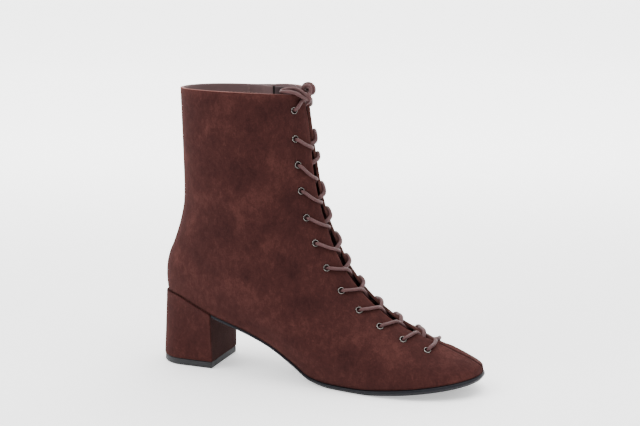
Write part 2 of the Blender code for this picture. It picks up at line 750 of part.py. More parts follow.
def tube_mesh(tube):
    """Closed mesh of a lace tube, with its caps welded; the curve is removed."""
    graph = bpy.context.evaluated_depsgraph_get()
    data = bpy.data.meshes.new_from_object(tube.evaluated_get(graph))
    shape = bmesh.new()
    shape.from_mesh(data)
    bmesh.ops.remove_doubles(shape, verts=shape.verts, dist=0.00001)
    bmesh.ops.recalc_face_normals(shape, faces=shape.faces)
    shape.to_mesh(data)
    shape.free()
    bpy.data.objects.remove(tube, do_unlink=True)
    return data


def make_crossings(shop, cord):
    """For each pair of eyelets two strands that meet over the throat, joined into one solid."""
    for row in range(1, ROWS - 1):
        meet = ridge_rise(EYELET_RUNS[row] + CROSS_DROPS[row - 1])
        data = []
        for side in (-1, 1):
            points = strand_points(eyelet_place(row, side), (meet, -side * CROSS_REACH), STRAND_TABLE["lift"])
            data.append(tube_mesh(lace_tube(shop, f"strand_{row}_{side}", points, cord)))
        crossing = shop.place(f"lace_cross_{row + 1:02d}", data[0], cord)
        combine(crossing, shop.cutter(f"lace_strand_{row + 1:02d}", data[1]), "UNION")


def make_bar(shop, cord):
    """Straight bar of lace over the last pair of eyelets."""
    outer = eyelet_place(ROWS - 1, -1)
    inner = eyelet_place(ROWS - 1, 1)
    top = (ridge_rise(EYELET_RUNS[-1]), 0.0)
    halves = [strand_points(end, top, STRAND_TABLE["lift"]) for end in (outer, inner)]
    points = np.vstack([halves[0], halves[1][-2::-1]])
    lace_tube(shop, "lace_bar", points, cord)


def make_bow(shop, cord):
    """Knot at the collar with its two loops and the two lengths from the first eyelets."""
    shape = bmesh.new()
    half = Matrix.Diagonal((*(v * MM for v in KNOT_HALF), 1.0))
    bmesh.ops.create_uvsphere(shape, u_segments=10, v_segments=6, radius=1.0,
                              matrix=Matrix.Translation(Vector(KNOT_CENTRE) * MM) @ half)
    data = bpy.data.meshes.new("lace_knot")
    shape.to_mesh(data)
    shape.free()
    data.shade_smooth()
    shop.place("lace_knot", data, cord)
    lace_tube(shop, "lace_loop_ring", smooth_path(RING_LOOP, LACE_STEP), cord)
    lace_tube(shop, "lace_loop_rim", smooth_path(RIM_LOOP, LACE_STEP), cord)
    for side, name, knot in ((-1, "lateral", KNOT_LATERAL), (1, "medial", KNOT_MEDIAL)):
        rise, turn = eyelet_place(0, side)
        clear = LACE / 2 + 2 * GAP + FLANGE
        first = last_point(rise, turn) + (clear + GAP) * last_normal(rise, turn)
        halfway = (rise + END_LIFT, turn * END_SHIFT)
        middle = last_point(*halfway) + (clear + 2 * GAP) * last_normal(*halfway)
        lace_tube(shop, f"lace_end_{name}", smooth_path([first, middle, knot], LACE_STEP), cord)


def make_zip(shop):
    """Zip chain in its slot, the slider at its top and the pull tab hanging from the slider."""
    metal = shop.finish("zip_metal", (0.300, 0.285, 0.270), 0.35, 1.0)
    tape = shop.finish("zip_tape", (0.035, 0.018, 0.016), 0.8)
    heights = np.linspace(ZIP_LOW + GAP * 2, COLLAR_HEIGHT - 2 * GAP, ZIP_ROWS)
    rows = []
    for height in heights:
        ends = []
        for x in (ZIP_X - ZIP_WIDTH / 2, ZIP_X, ZIP_X + ZIP_WIDTH / 2):
            at = wall_at(x, height, 1)
            ends.append(last_point(*at) - ZIP_RECESS * last_normal(*at))
        rows.append(ends)
    chain = shop.place("zip_chain", mesh_of("zip_chain", np.array(rows).reshape(-1, 3),
                                            grid_faces(ZIP_ROWS, 3), closed=False), tape)
    wall = chain.modifiers.new("wall", "SOLIDIFY")
    wall.thickness = ZIP_THICK * MM
    wall.offset = -1

    at = wall_at(ZIP_X, SLIDER_HEIGHT, 1)
    normal = last_normal(*at)
    seat = seat_matrix(last_point(*at) + (2 * GAP) * normal, normal)
    width, thick, height = SLIDER_SIZE
    block = box_mesh("zip_slider", (width, height, thick), (0, 0, thick / 2))
    slider = shop.place("zip_slider", block, metal)
    slider.matrix_local = seat
    axis = (0, LUG_Z, thick + HINGE_LIFT)
    for side in (-1, 1):
        centre = (side * LUG_SPACING / 2, LUG_Z, thick + LUG_SIZE[2] / 2 - GAP)
        lug = shop.cutter(f"slider_lug_{side}", box_mesh("slider_lug", LUG_SIZE, centre))
        lug.matrix_local = seat
        combine(slider, lug, "UNION")
    pin = shop.cutter("slider_pin", rod_mesh("slider_pin", PIN_RADIUS, LUG_SPACING, axis))
    pin.matrix_local = seat
    combine(slider, pin, "UNION")

    hinge = seat @ Matrix.Translation(Vector(axis) * MM)
    pull = shop.place("zip_pull", rod_mesh("zip_pull", KNUCKLE_RADIUS, KNUCKLE_LENGTH, (0, 0, 0)), metal)
    pull.matrix_local = hinge
    tab_width, tab_thick, tab_length = TAB_SIZE
    tab = box_mesh("pull_tab", (tab_width, tab_length, tab_thick), (0, TAB_TOP - tab_length / 2, 0))
    neck = box_mesh("pull_neck", NECK_SIZE, (0, -NECK_SIZE[1] / 2, 0))
    bore = rod_mesh("pull_bore", KNUCKLE_BORE, 2 * KNUCKLE_LENGTH, (0, 0, 0))
    for data, operation in ((neck, "UNION"), (tab, "UNION"), (bore, "DIFFERENCE")):
        other = shop.cutter(data.name, data)
        other.matrix_local = hinge
        combine(pull, other, operation)


def main():
    """Build every sub-part of the boot."""
    shop = Workshop()
    cord = shop.finish("waxed_cord", (0.190, 0.105, 0.100), 0.55)
    make_outsole(shop)
    make_top_lift(shop)
    make_heel(shop)
    make_upper(shop)
    make_insole(shop)
    make_tongue(shop)
    make_eyelets(shop)
    make_crossings(shop, cord)
    make_bar(shop, cord)
    make_bow(shop, cord)
    make_zip(shop)


main()
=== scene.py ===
"""Looks of a right-foot lace-up ankle boot in brown suede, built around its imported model.

Shapes are worked out in millimetres in the working frame of the part's source: x from the
back of the heel to the toe, y towards the inner side of the foot and z up from the floor.
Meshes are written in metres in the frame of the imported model.
"""

import logging
import math
from dataclasses import dataclass
from enum import Enum

import bmesh
import bpy
import numpy as np
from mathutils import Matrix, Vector


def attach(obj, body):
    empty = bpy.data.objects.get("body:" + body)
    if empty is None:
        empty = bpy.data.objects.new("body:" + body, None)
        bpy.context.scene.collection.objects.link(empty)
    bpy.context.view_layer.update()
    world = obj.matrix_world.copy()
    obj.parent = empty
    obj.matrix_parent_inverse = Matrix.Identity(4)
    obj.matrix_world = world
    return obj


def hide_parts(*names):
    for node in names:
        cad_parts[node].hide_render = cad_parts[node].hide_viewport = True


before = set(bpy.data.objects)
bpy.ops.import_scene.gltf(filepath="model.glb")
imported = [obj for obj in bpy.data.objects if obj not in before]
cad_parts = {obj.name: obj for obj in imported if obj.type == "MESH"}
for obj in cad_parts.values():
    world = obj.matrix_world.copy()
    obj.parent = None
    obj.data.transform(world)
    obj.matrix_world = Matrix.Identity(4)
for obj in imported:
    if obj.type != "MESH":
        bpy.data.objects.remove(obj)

LOG = logging.getLogger("ankle_boot")
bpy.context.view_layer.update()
MM = 0.001
ORIGIN = np.array((129.19, -0.47, 0.0))
BOOT = "boot"
PULL = "pull"
SPAN_STEPS = 24      # points worked out on each span of a smooth path
UP = np.array((0.0, 0.0, 1.0))
Array = np.ndarray
Points = tuple[tuple[float, float, float], ...]


class Side(Enum):
    """The outer and the inner side of the foot, as the sign of y."""

    LATERAL = -1
    MEDIAL = 1


class Ends(Enum):
    """What closes the first and last row of a grid."""

    OPEN = "open"
    CAPPED = "capped"
    JOINED = "joined"


class Columns(Enum):
    """Whether the last column of a grid joins the first."""

    OPEN = "open"
    ROUND = "round"


def smooth(knots: Array, values: Array, at: Array) -> Array:
    """Monotone cubic through a table's rows, so that no curve overshoots a row.

    Args:
        knots: rising positions of the rows.
        values: the rows' values.
        at: positions to read.

    Returns:
        One value for each position.
    """
    step = np.diff(knots)
    slope = np.diff(values) / step
    same = slope[:-1] * slope[1:] > 0
    before = np.where(same, slope[:-1], 1.0)
    after = np.where(same, slope[1:], 1.0)
    weight_a = 2 * step[1:] + step[:-1]
    weight_b = step[1:] + 2 * step[:-1]
    tangent = np.empty_like(values)
    tangent[1:-1] = np.where(same, (weight_a + weight_b) / (weight_a / before + weight_b / after), 0.0)
    tangent[0] = slope[0]
    tangent[-1] = slope[-1]
    k = np.clip(np.searchsorted(knots, at, side="right") - 1, 0, len(step) - 1)
    u = np.clip((at - knots[k]) / step[k], 0.0, 1.0)
    rising = values[k] * (1 + 2 * u) * (1 - u) ** 2 + values[k + 1] * u * u * (3 - 2 * u)
    return rising + step[k] * (tangent[k] * u * (1 - u) ** 2 + tangent[k + 1] * u * u * (u - 1))


def ease(share: Array) -> Array:
    """Smooth step from 0 to 1: three squares less two cubes of the clipped share."""
    share = np.clip(share, 0.0, 1.0)
    return share * share * (3 - 2 * share)


def unit(vectors: Array) -> Array:
    """Vectors of length one in the same directions."""
    return vectors / np.maximum(np.linalg.norm(vectors, axis=-1, keepdims=True), 1e-9)


def bell(away: Array, half: float) -> Array:
    """Bell curve: 1 at no distance and 1/e at the half width."""
    return np.exp(-(away / half) ** 2)


def circle(count: int) -> Array:
    """Angles of places evenly spaced round a circle."""
    return np.linspace(0.0, 2 * math.pi, count, endpoint=False)


def run_along(path: Array) -> Array:
    """Distance along a path at each of its points."""
    return np.concatenate([[0.0], np.cumsum(np.linalg.norm(np.diff(path, axis=0), axis=1))])


def read_at(values: Array, run: Array, at: Array) -> Array:
    """Rows of values, known along a run, read at other places of the run."""
    return np.stack([np.interp(at, run, column) for column in values.T], axis=-1)


@dataclass(frozen=True)
class Table:
    """A short table whose columns are read at any place through a monotone cubic."""

    columns: tuple[str, ...]
    rows: tuple[tuple[float, ...], ...]

    def column(self, name: str) -> Array:
        """All the values of one column."""
        return np.array([row[self.columns.index(name)] for row in self.rows], dtype=float)

    def at(self, name: str, where: Array) -> Array:
        """One column's value at places along the first column."""
        return smooth(self.column(self.columns[0]), self.column(name), np.asarray(where, dtype=float))


LEVELS = Table(
    ("rise", "back_x", "back_up", "front_x", "front_up", "lateral", "medial",
     "widest", "back_power", "front_power", "front_corner"),
    (
        (0.00, 0.0132, 0.000, 0.9945, 0.170, 0.498, 0.485, 0.70, 2.2, 2.45, 2.00),
        (0.05, 0.0105, 0.035, 0.9925, 0.215, 0.508, 0.492, 0.69, 2.2, 2.35, 1.95),
        (0.10, 0.0097, 0.073, 0.9672, 0.267, 0.508, 0.492, 0.68, 2.2, 2.20, 1.85),
        (0.18, 0.0120, 0.126, 0.9124, 0.333, 0.492, 0.476, 0.64, 2.2, 2.00, 1.80),
        (0.27, 0.0215, 0.186, 0.8256, 0.449, 0.472, 0.455, 0.58, 2.1, 1.90, 1.75),
        (0.36, 0.0388, 0.248, 0.7364, 0.587, 0.453, 0.440, 0.53, 2.1, 1.85, 1.70),
        (0.46, 0.0550, 0.317, 0.6512, 0.791, 0.437, 0.431, 0.49, 2.0, 1.90, 1.70),
        (0.56, 0.0682, 0.386, 0.5950, 1.000, 0.427, 0.427, 0.47, 2.0, 2.00, 1.70),
        (0.66, 0.0775, 0.461, 0.5504, 1.178, 0.422, 0.422, 0.46, 2.0, 2.00, 1.70),
        (0.76, 0.0806, 0.561, 0.5167, 1.357, 0.430, 0.430, 0.46, 2.0, 2.00, 1.70),
        (0.88, 0.0787, 0.762, 0.4884, 1.659, 0.432, 0.432, 0.47, 2.0, 2.00, 1.70),
        (1.00, 0.0752, 1.000, 0.4651, 1.988, 0.432, 0.432, 0.48, 2.0, 2.00, 1.70),
    ),
)
FEATHER = Table(
    ("along", "heel", "spring"),
    (
        (0.000, 1.000, 0.000),
        (0.062, 0.988, 0.000),
        (0.128, 0.900, 0.000),
        (0.194, 0.780, 0.000),
        (0.291, 0.626, 0.000),
        (0.380, 0.438, 0.000),
        (0.457, 0.216, 0.000),
        (0.519, 0.041, 0.000),
        (0.581, 0.000, 0.000),
        (0.659, 0.000, 0.010),
        (0.775, 0.000, 0.255),
        (0.891, 0.000, 0.618),
        (1.000, 0.000, 1.000),
    ),
)
SOLE = Table(
    ("along", "thick", "proud"),
    (
        (0.19, 2.0, 0.2),
        (0.36, 2.0, 0.3),
        (0.48, 2.8, 0.7),
        (0.57, 3.3, 0.9),
        (0.72, 3.9, 1.0),
        (0.90, 4.3, 1.0),
        (1.00, 4.4, 1.0),
    ),
)
THROAT = Table(
    ("rise", "gap"),
    (
        (0.232, 0.0),
        (0.270, 5.2),
        (0.310, 9.4),
        (0.450, 10.0),
        (0.600, 11.0),
        (0.740, 8.0),
        (0.830, 8.6),
        (0.935, 4.4),
        (1.000, 8.2),
    ),
)


@dataclass(frozen=True)
class Last:
    """The shape that every curved piece follows, as in the part's source, in millimetres."""

    length: float = 258.0
    ball_width: float = 77.3
    heel_height: float = 55.4
    instep_height: float = 86.0
    collar_height: float = 215.0
    lift_lateral: float = 1.8
    lift_medial: float = 0.2
    ball_level: float = 3.6
    toe_spring: float = 11.0
    toe_swing: float = 2.2
    swing_start: float = 0.66
    level_fade: float = 1.5
    waist_lateral: float = 0.27
    waist_medial: float = 0.40
    waist_centre: float = 0.40
    waist_spread: float = 0.20
    waist_rise: float = 0.30
    throat_end: float = 0.232
    edge_trim: float = 0.9       # cut off the outer quarter's edge at the throat
    trim_whole: float = 1.5      # half gap from which the trim is whole

    def feather(self, x: Array) -> Array:
        """Height of the line between upper and sole at a distance along the boot.

        Args:
            x: distances along the boot.

        Returns:
            Heights above the floor.
        """
        along = np.asarray(x, dtype=float) / self.length
        heel = FEATHER.at("heel", along) * (self.heel_height - self.ball_level)
        return self.ball_level + heel + FEATHER.at("spring", along) * self.toe_spring

    def point(self, rise: Array, turn: Array) -> Array:
        """Points of the upper's outer face on loops that climb from the feather line.

        Each loop is two half superellipses that meet at its widest point. Its height runs from
        the back end to the front end, less the feather line's own dip, which fades upwards.

        Args:
            rise: 0 at the feather line and 1 at the collar.
            turn: 0 on the front ridge, -1 at the back by the outer side, +1 by the inner side.

        Returns:
            Points with x, y and z in the last axis.
        """
        rise, turn = np.broadcast_arrays(np.asarray(rise, dtype=float), np.asarray(turn, dtype=float))
        rise = np.clip(rise, 0.0, 1.0)
        lateral = turn < 0
        front = np.abs(turn) < 0.5
        behind = np.cos(np.clip(1 - np.abs(turn), 0.0, 0.5) * math.pi)
        ahead = np.sin(np.clip(0.5 - np.abs(turn), 0.0, 0.5) * math.pi)
        widest = LEVELS.at("widest", rise)
        u = np.where(front, widest + (1 - widest) * ahead, widest * (1 - behind))
        round_front = (1 - ahead ** LEVELS.at("front_power", rise)) ** (1 / LEVELS.at("front_corner", rise))
        round_back = np.sqrt(1 - behind ** LEVELS.at("back_power", rise))
        half = self.ball_width * np.where(lateral, LEVELS.at("lateral", rise), LEVELS.at("medial", rise))
        half = half * np.where(front, round_front, round_back)
        pinch = np.where(lateral, self.waist_lateral, self.waist_medial)
        pinch = pinch * np.clip(1 - rise / self.waist_rise, 0, 1) ** 2
        half = half * (1 - pinch * bell(u - self.waist_centre, self.waist_spread))
        back_x = self.length * LEVELS.at("back_x", rise)
        front_x = self.length * LEVELS.at("front_x", rise)
        back_z = self.heel_height + LEVELS.at("back_up", rise) * (self.collar_height - self.heel_height)
        stage = LEVELS.at("front_up", rise)
        front_z = np.minimum(stage, 1) * self.instep_height
        front_z = front_z + np.clip(stage - 1, 0, 1) * (self.collar_height - self.instep_height)
        x = back_x + u * (front_x - back_x)
        chord = self.feather(back_x) + u * (self.feather(front_x) - self.feather(back_x))
        z = back_z + u * (front_z - back_z) + (self.feather(x) - chord) * (1 - rise) ** self.level_fade
        z = z + np.where(lateral, self.lift_lateral, self.lift_medial) * rise ** 8 * 4 * u * (1 - u)
        swing = np.clip((x / self.length - self.swing_start) / (1 - self.swing_start), 0, 1) ** 2
        y = np.where(lateral, -half, half) + self.toe_swing * swing
        return np.stack([x, y, z], axis=-1)

    def normal(self, rise: Array, turn: Array, step: float = 0.004) -> Array:
        """Outward unit normal: the cross product of small steps of turn and of rise.

        Args:
            rise: as for point.
            turn: as for point.
            step: half of each small step.

        Returns:
            One unit vector for each point.
        """
        across = self.point(rise, np.add(turn, step)) - self.point(rise, np.subtract(turn, step))
        upward = self.point(np.add(rise, step), turn) - self.point(np.subtract(rise, step), turn)
        return unit(np.cross(across, upward))

    def off(self, rise: Array, turn: Array, lift: Array) -> Array:
        """Points at a distance above the outer face, or below it where lift is negative."""
        lift = np.asarray(lift, dtype=float)[..., None]
        return self.point(rise, turn) + lift * self.normal(rise, turn)

    def foot_turn(self, x: Array) -> Array:
        """How far the feather loop has turned from the toe at a distance along the boot.

        Args:
            x: distances along the boot.

        Returns:
            Turns from 0 at the toe to 1 at the back.
        """
        back = self.length * LEVELS.column("back_x")[0]
        front = self.length * LEVELS.column("front_x")[0]
        widest = LEVELS.column("widest")[0]
        u = np.clip((np.asarray(x, dtype=float) - back) / (front - back), 0.0, 1.0)
        behind = 1 - np.arccos(np.clip(1 - u / widest, 0.0, 1.0)) / math.pi
        ahead = 0.5 - np.arcsin(np.clip((u - widest) / (1 - widest), 0.0, 1.0)) / math.pi
        return np.where(u < widest, behind, ahead)

    def throat_turn(self, rise: Array, side: Side) -> Array:
        """How far the trimmed edge of the throat stands from the front ridge on one side, as turn.

        Args:
            rise: rises of the places.
            side: which quarter.

        Returns:
            Turns, positive on both sides.
        """
        opening = THROAT.at("gap", rise) / 2
        if side is Side.LATERAL:
            opening = opening + self.edge_trim * ease(opening / self.trim_whole)
        half = self.ball_width * LEVELS.at(side.name.lower(), rise)
        corner, power = LEVELS.at("front_corner", rise), LEVELS.at("front_power", rise)
        return 0.5 - np.arcsin((1 - (opening / half) ** corner) ** (1 / power)) / math.pi

    def ridge_rise(self, run: float) -> float:
        """Rise of the front ridge at a distance below the collar, measured along the ridge."""
        rise = np.linspace(1.0, 0.1, 901)
        return float(np.interp(run, run_along(self.point(rise, 0.0)), rise))

    def wall_at(self, x: Array, z: Array, side: Side) -> tuple[Array, Array]:
        """Rise and turn of one side's wall at given x and z, by Newton steps from a coarse net.

        Args:
            x: distances along the boot.
            z: heights, as many.
            side: which wall.

        Returns:
            The rises and the turns.
        """
        rise, turn = np.meshgrid(np.linspace(0.05, 1.0, 96), side.value * np.linspace(0.1, 0.9, 81),
                                 indexing="ij")
        net = self.point(rise, turn).reshape(-1, 3)
        goal = np.stack([x, z], axis=-1)
        best = np.argmin(((net[None, :, ::2] - goal[:, None, :]) ** 2).sum(-1), axis=1)
        at = np.stack([rise.ravel()[best], turn.ravel()[best]])
        step = 1e-4
        for _ in range(6):
            here = self.point(*at)[:, ::2]
            up = (here - self.point(at[0] - step, at[1])[:, ::2]) / step
            around = (self.point(at[0], at[1] + step)[:, ::2] - here) / step
            at = at + np.linalg.solve(np.stack([up, around], axis=-1), (goal - here)[..., None])[..., 0].T
            at[0] = np.clip(at[0], 0.0, 1.0)
        return at[0], at[1]


LAST = Last()


def linear(code: str) -> tuple[float, float, float, float]:
    """Turn an sRGB hex colour into linear values with full alpha.

    Args:
        code: the hex code with its number sign.

    Returns:
        Red, green, blue and alpha.
    """
    parts = np.array([int(code[k:k + 2], 16) for k in (1, 3, 5)]) / 255
    values = np.where(parts <= 0.04045, parts / 12.92, ((parts + 0.055) / 1.055) ** 2.4)
    return (*(float(v) for v in values), 1.0)


def socket(sockets: bpy.types.bpy_prop_collection, key: str) -> bpy.types.NodeSocket:
    """The socket with an identifier or, failing that, a name."""
    exact = [s for s in sockets if s.identifier == key]
    return exact[0] if exact else next(s for s in sockets if s.name == key)


def set_node(tree: bpy.types.NodeTree, node: bpy.types.Node, settings: dict | None = None,
             links: dict | None = None) -> bpy.types.Node:
    """Give a node its settings and links.

    Args:
        tree: the node tree that holds it.
        node: the node.
        settings: properties of the node, or values of its inputs by identifier or name.
        links: for an input's identifier or name, the node and output that feed it.

    Returns:
        The node.
    """
    for key, value in (settings or {}).items():
        if hasattr(node, key):
            setattr(node, key, value)
        else:
            socket(node.inputs, key).default_value = value
    for key, (source, output) in (links or {}).items():
        tree.links.new(socket(source.outputs, output), socket(node.inputs, key))
    return node


def add_node(tree: bpy.types.NodeTree, kind: str, settings: dict | None = None,
             links: dict | None = None) -> bpy.types.Node:
    """Add one node of a kind in Blender, with its settings and links."""
    return set_node(tree, tree.nodes.new(kind), settings, links)


def per_metre(size_mm: float) -> float:
    """Scale of a noise whose features are about this many millimetres across."""
    return 1 / (size_mm * MM)


@dataclass(frozen=True)
class Finish:
    """A procedural material, named for what the real surface is made of, or for the light or shade painted on
    it.
    """

    name: str

    def material(self) -> bpy.types.Material:
        """The Blender material, made once.

        Returns:
            The material with the finish's name.
        """
        found = bpy.data.materials.get(self.name)
        if found:
            return found
        made = bpy.data.materials.new(self.name)
        made.use_nodes = True
        self.dress(made.node_tree, made.node_tree.nodes["Principled BSDF"])
        return made

    def dress(self, tree: bpy.types.NodeTree, shader: bpy.types.Node) -> None:
        """Add the finish's nodes to its shader."""
        raise NotImplementedError


@dataclass(frozen=True)
class Suede(Finish):
    """Buffed suede: a matt nap that lies light or dark in patches, with a soft sheen at its edges."""

    dark: str = "#231010"
    middle: str = "#331a18"
    light: str = "#4a2a26"
    # colour of the painted shade along the seams, the feather line, the inner quarter's throat edge, inside
    # the eyelets' bores and on the heel's breast
    seam: str = "#180a09"
    sheen: str = "#96524a"
    sheen_weight: float = 0.12
    patch_mm: float = 17.0
    cloud_mm: float = 4.2
    nap_mm: float = 1.1      # real nap is finer; drawn this coarse so that it shows
    patch_share: float = 0.54
    cloud_share: float = 0.62
    nap_share: float = 0.36
    # weight of the nap field, painted highlights included
    nap_and_highlight_share: float = 0.15
    level: float = -0.29     # added to the sum of the shares
    dark_at: float = 0.12    # places of the three tones on the ramp
    middle_at: float = 0.50
    light_at: float = 0.95

    def dress(self, tree: bpy.types.NodeTree, shader: bpy.types.Node) -> None:
        """Sum patches, clouds, nap and the given tone, which holds painted highlights as well as nap patches,
        and read a colour ramp with the sum.

        Args:
            tree: the material's node tree.
            shader: its Principled BSDF.
        """
        place = add_node(tree, "ShaderNodeTexCoord")
        patch = add_node(tree, "ShaderNodeTexNoise",
                         {"Scale": per_metre(self.patch_mm), "Detail": 3.0, "Roughness": 0.55,
                          "Distortion": 0.5},
                         {"Vector": (place, "Object")})
        brushed = add_node(tree, "ShaderNodeMapping", {"Rotation": (0.0, 0.6, 0.0), "Scale": (1.2, 1.2, 0.8)},
                           {"Vector": (place, "Object")})
        cloud = add_node(tree, "ShaderNodeTexNoise",
                         {"Scale": per_metre(self.cloud_mm), "Detail": 4.0, "Roughness": 0.6,
                          "Distortion": 0.8},
                         {"Vector": (brushed, "Vector")})
        nap = add_node(tree, "ShaderNodeTexNoise",
                       {"Scale": per_metre(self.nap_mm), "Detail": 3.0, "Roughness": 0.7},
                       {"Vector": (place, "Object")})
        # the nap field: patches of nap, with painted highlights along the collar, on the outer quarter's
        # throat edge and on the toe
        tone = add_node(tree, "ShaderNodeAttribute", {"attribute_name": "nap"})
        total = None
        for layer, share in ((patch, self.patch_share), (cloud, self.cloud_share),
                             (nap, self.nap_share), (tone, self.nap_and_highlight_share)):
            former = {"Value_002": (total, "Value")} if total else {}
            total = add_node(tree, "ShaderNodeMath",
                             {"operation": "MULTIPLY_ADD", "Value_001": share, "Value_002": self.level},
                             {"Value": (layer, "Fac"), **former})
        ramp = add_node(tree, "ShaderNodeValToRGB", {}, {"Fac": (total, "Value")})
        stops = ramp.color_ramp.elements
        stops[0].position = self.dark_at
        stops[0].color = linear(self.dark)
        stops[1].position = self.light_at
        stops[1].color = linear(self.light)
        stops.new(self.middle_at).color = linear(self.middle)
        # painted shade: this darker colour is mixed in where the shade field is high
        painted_shade_mask = add_node(tree, "ShaderNodeAttribute", {"attribute_name": "seam"})
        colour = add_node(tree, "ShaderNodeMix", {"data_type": "RGBA", "B_Color": linear(self.seam)},
                          {"Factor_Float": (painted_shade_mask, "Fac"), "A_Color": (ramp, "Color")})
        height = add_node(tree, "ShaderNodeMath", {"operation": "MULTIPLY_ADD", "Value_001": 0.45},
                          {"Value": (cloud, "Fac"), "Value_002": (nap, "Fac")})
        bump = add_node(tree, "ShaderNodeBump", {"Strength": 0.42, "Distance": 0.45 * MM},
                        {"Height": (height, "Value")})
        set_node(tree, shader,
                 {"Roughness": 0.94, "Specular IOR Level": 0.08, "Sheen Weight": self.sheen_weight,
                  "Sheen Roughness": 0.42, "Sheen Tint": linear(self.sheen)},
                 {"Base Color": (colour, "Result_Color"), "Normal": (bump, "Normal")})


@dataclass(frozen=True)
class SmoothLeather(Finish):
    """Finished calf for lining, insole and tongue: fine pores, a low gloss and faintly cloudy colour."""

    base: str = "#6c5454"
    deep: str = "#543f3e"
    roughness: float = 0.52
    pore_mm: float = 1.2     # real pores are about 0.2 mm; drawn this coarse so that they show
    cloud_mm: float = 13.0

    def dress(self, tree: bpy.types.NodeTree, shader: bpy.types.Node) -> None:
        """Cloud noise mixes two tones, and the cells of a Voronoi pattern press the pores.

        Args:
            tree: the material's node tree.
            shader: its Principled BSDF.
        """
        place = add_node(tree, "ShaderNodeTexCoord")
        cloud = add_node(tree, "ShaderNodeTexNoise",
                         {"Scale": per_metre(self.cloud_mm), "Detail": 4.0, "Roughness": 0.6},
                         {"Vector": (place, "Object")})
        pores = add_node(tree, "ShaderNodeTexVoronoi", {"Scale": per_metre(self.pore_mm)},
                         {"Vector": (place, "Object")})
        colour = add_node(tree, "ShaderNodeMix",
                          {"data_type": "RGBA", "A_Color": linear(self.deep), "B_Color": linear(self.base)},
                          {"Factor_Float": (cloud, "Fac")})
        bump = add_node(tree, "ShaderNodeBump", {"Strength": 0.25, "Distance": 0.2 * MM},
                        {"Height": (pores, "Distance")})
        set_node(tree, shader, {"Roughness": self.roughness},
                 {"Base Color": (colour, "Result_Color"), "Normal": (bump, "Normal")})


@dataclass(frozen=True)
class MouldedRubber(Finish):
    """Trimmed sole rubber: satin grey with fine grit and dull rubbed places."""

    base: str = "#15151a"
    worn: str = "#222227"
    roughness: float = 0.46
    gloss: float = 0.22
    rub_mm: float = 9.0
    grit_mm: float = 0.9

    def dress(self, tree: bpy.types.NodeTree, shader: bpy.types.Node) -> None:
        """A broad noise dulls and greys the rubber, and a fine one gives it grit.

        Args:
            tree: the material's node tree.
            shader: its Principled BSDF.
        """
        place = add_node(tree, "ShaderNodeTexCoord")
        rub = add_node(tree, "ShaderNodeTexNoise",
                       {"Scale": per_metre(self.rub_mm), "Detail": 5.0, "Roughness": 0.65},
                       {"Vector": (place, "Object")})
        grit = add_node(tree, "ShaderNodeTexNoise", {"Scale": per_metre(self.grit_mm), "Detail": 2.0},
                        {"Vector": (place, "Object")})
        colour = add_node(tree, "ShaderNodeMix",
                          {"data_type": "RGBA", "A_Color": linear(self.base), "B_Color": linear(self.worn)},
                          {"Factor_Float": (rub, "Fac")})
        dull = add_node(tree, "ShaderNodeMath",
                        {"operation": "MULTIPLY_ADD", "Value_001": 0.30, "Value_002": self.roughness - 0.15},
                        {"Value": (rub, "Fac")})
        bump = add_node(tree, "ShaderNodeBump", {"Strength": 0.18, "Distance": 0.15 * MM},
                        {"Height": (grit, "Fac")})
        set_node(tree, shader, {"Specular IOR Level": self.gloss},
                 {"Base Color": (colour, "Result_Color"), "Roughness": (dull, "Value"),
                  "Normal": (bump, "Normal")})


@dataclass(frozen=True)
class PlatedMetal(Finish):
    """Gunmetal plate on stamped brass: bright on the rounded rims, a little hazy from handling."""

    base: str = "#98948f"
    haze: str = "#706d6a"
    roughness: float = 0.24
    haze_mm: float = 2.5

    def dress(self, tree: bpy.types.NodeTree, shader: bpy.types.Node) -> None:
        """One noise drives both the haze in the colour and the roughness.

        Args:
            tree: the material's node tree.
            shader: its Principled BSDF.
        """
        place = add_node(tree, "ShaderNodeTexCoord")
        haze = add_node(tree, "ShaderNodeTexNoise",
                        {"Scale": per_metre(self.haze_mm), "Detail": 4.0, "Roughness": 0.7},
                        {"Vector": (place, "Object")})
        colour = add_node(tree, "ShaderNodeMix",
                          {"data_type": "RGBA", "A_Color": linear(self.base), "B_Color": linear(self.haze)},
                          {"Factor_Float": (haze, "Fac")})
        dull = add_node(tree, "ShaderNodeMath",
                        {"operation": "MULTIPLY_ADD", "Value_001": 0.22, "Value_002": self.roughness - 0.11},
                        {"Value": (haze, "Fac")})
        set_node(tree, shader, {"Metallic": 1.0},
                 {"Base Color": (colour, "Result_Color"), "Roughness": (dull, "Value")})


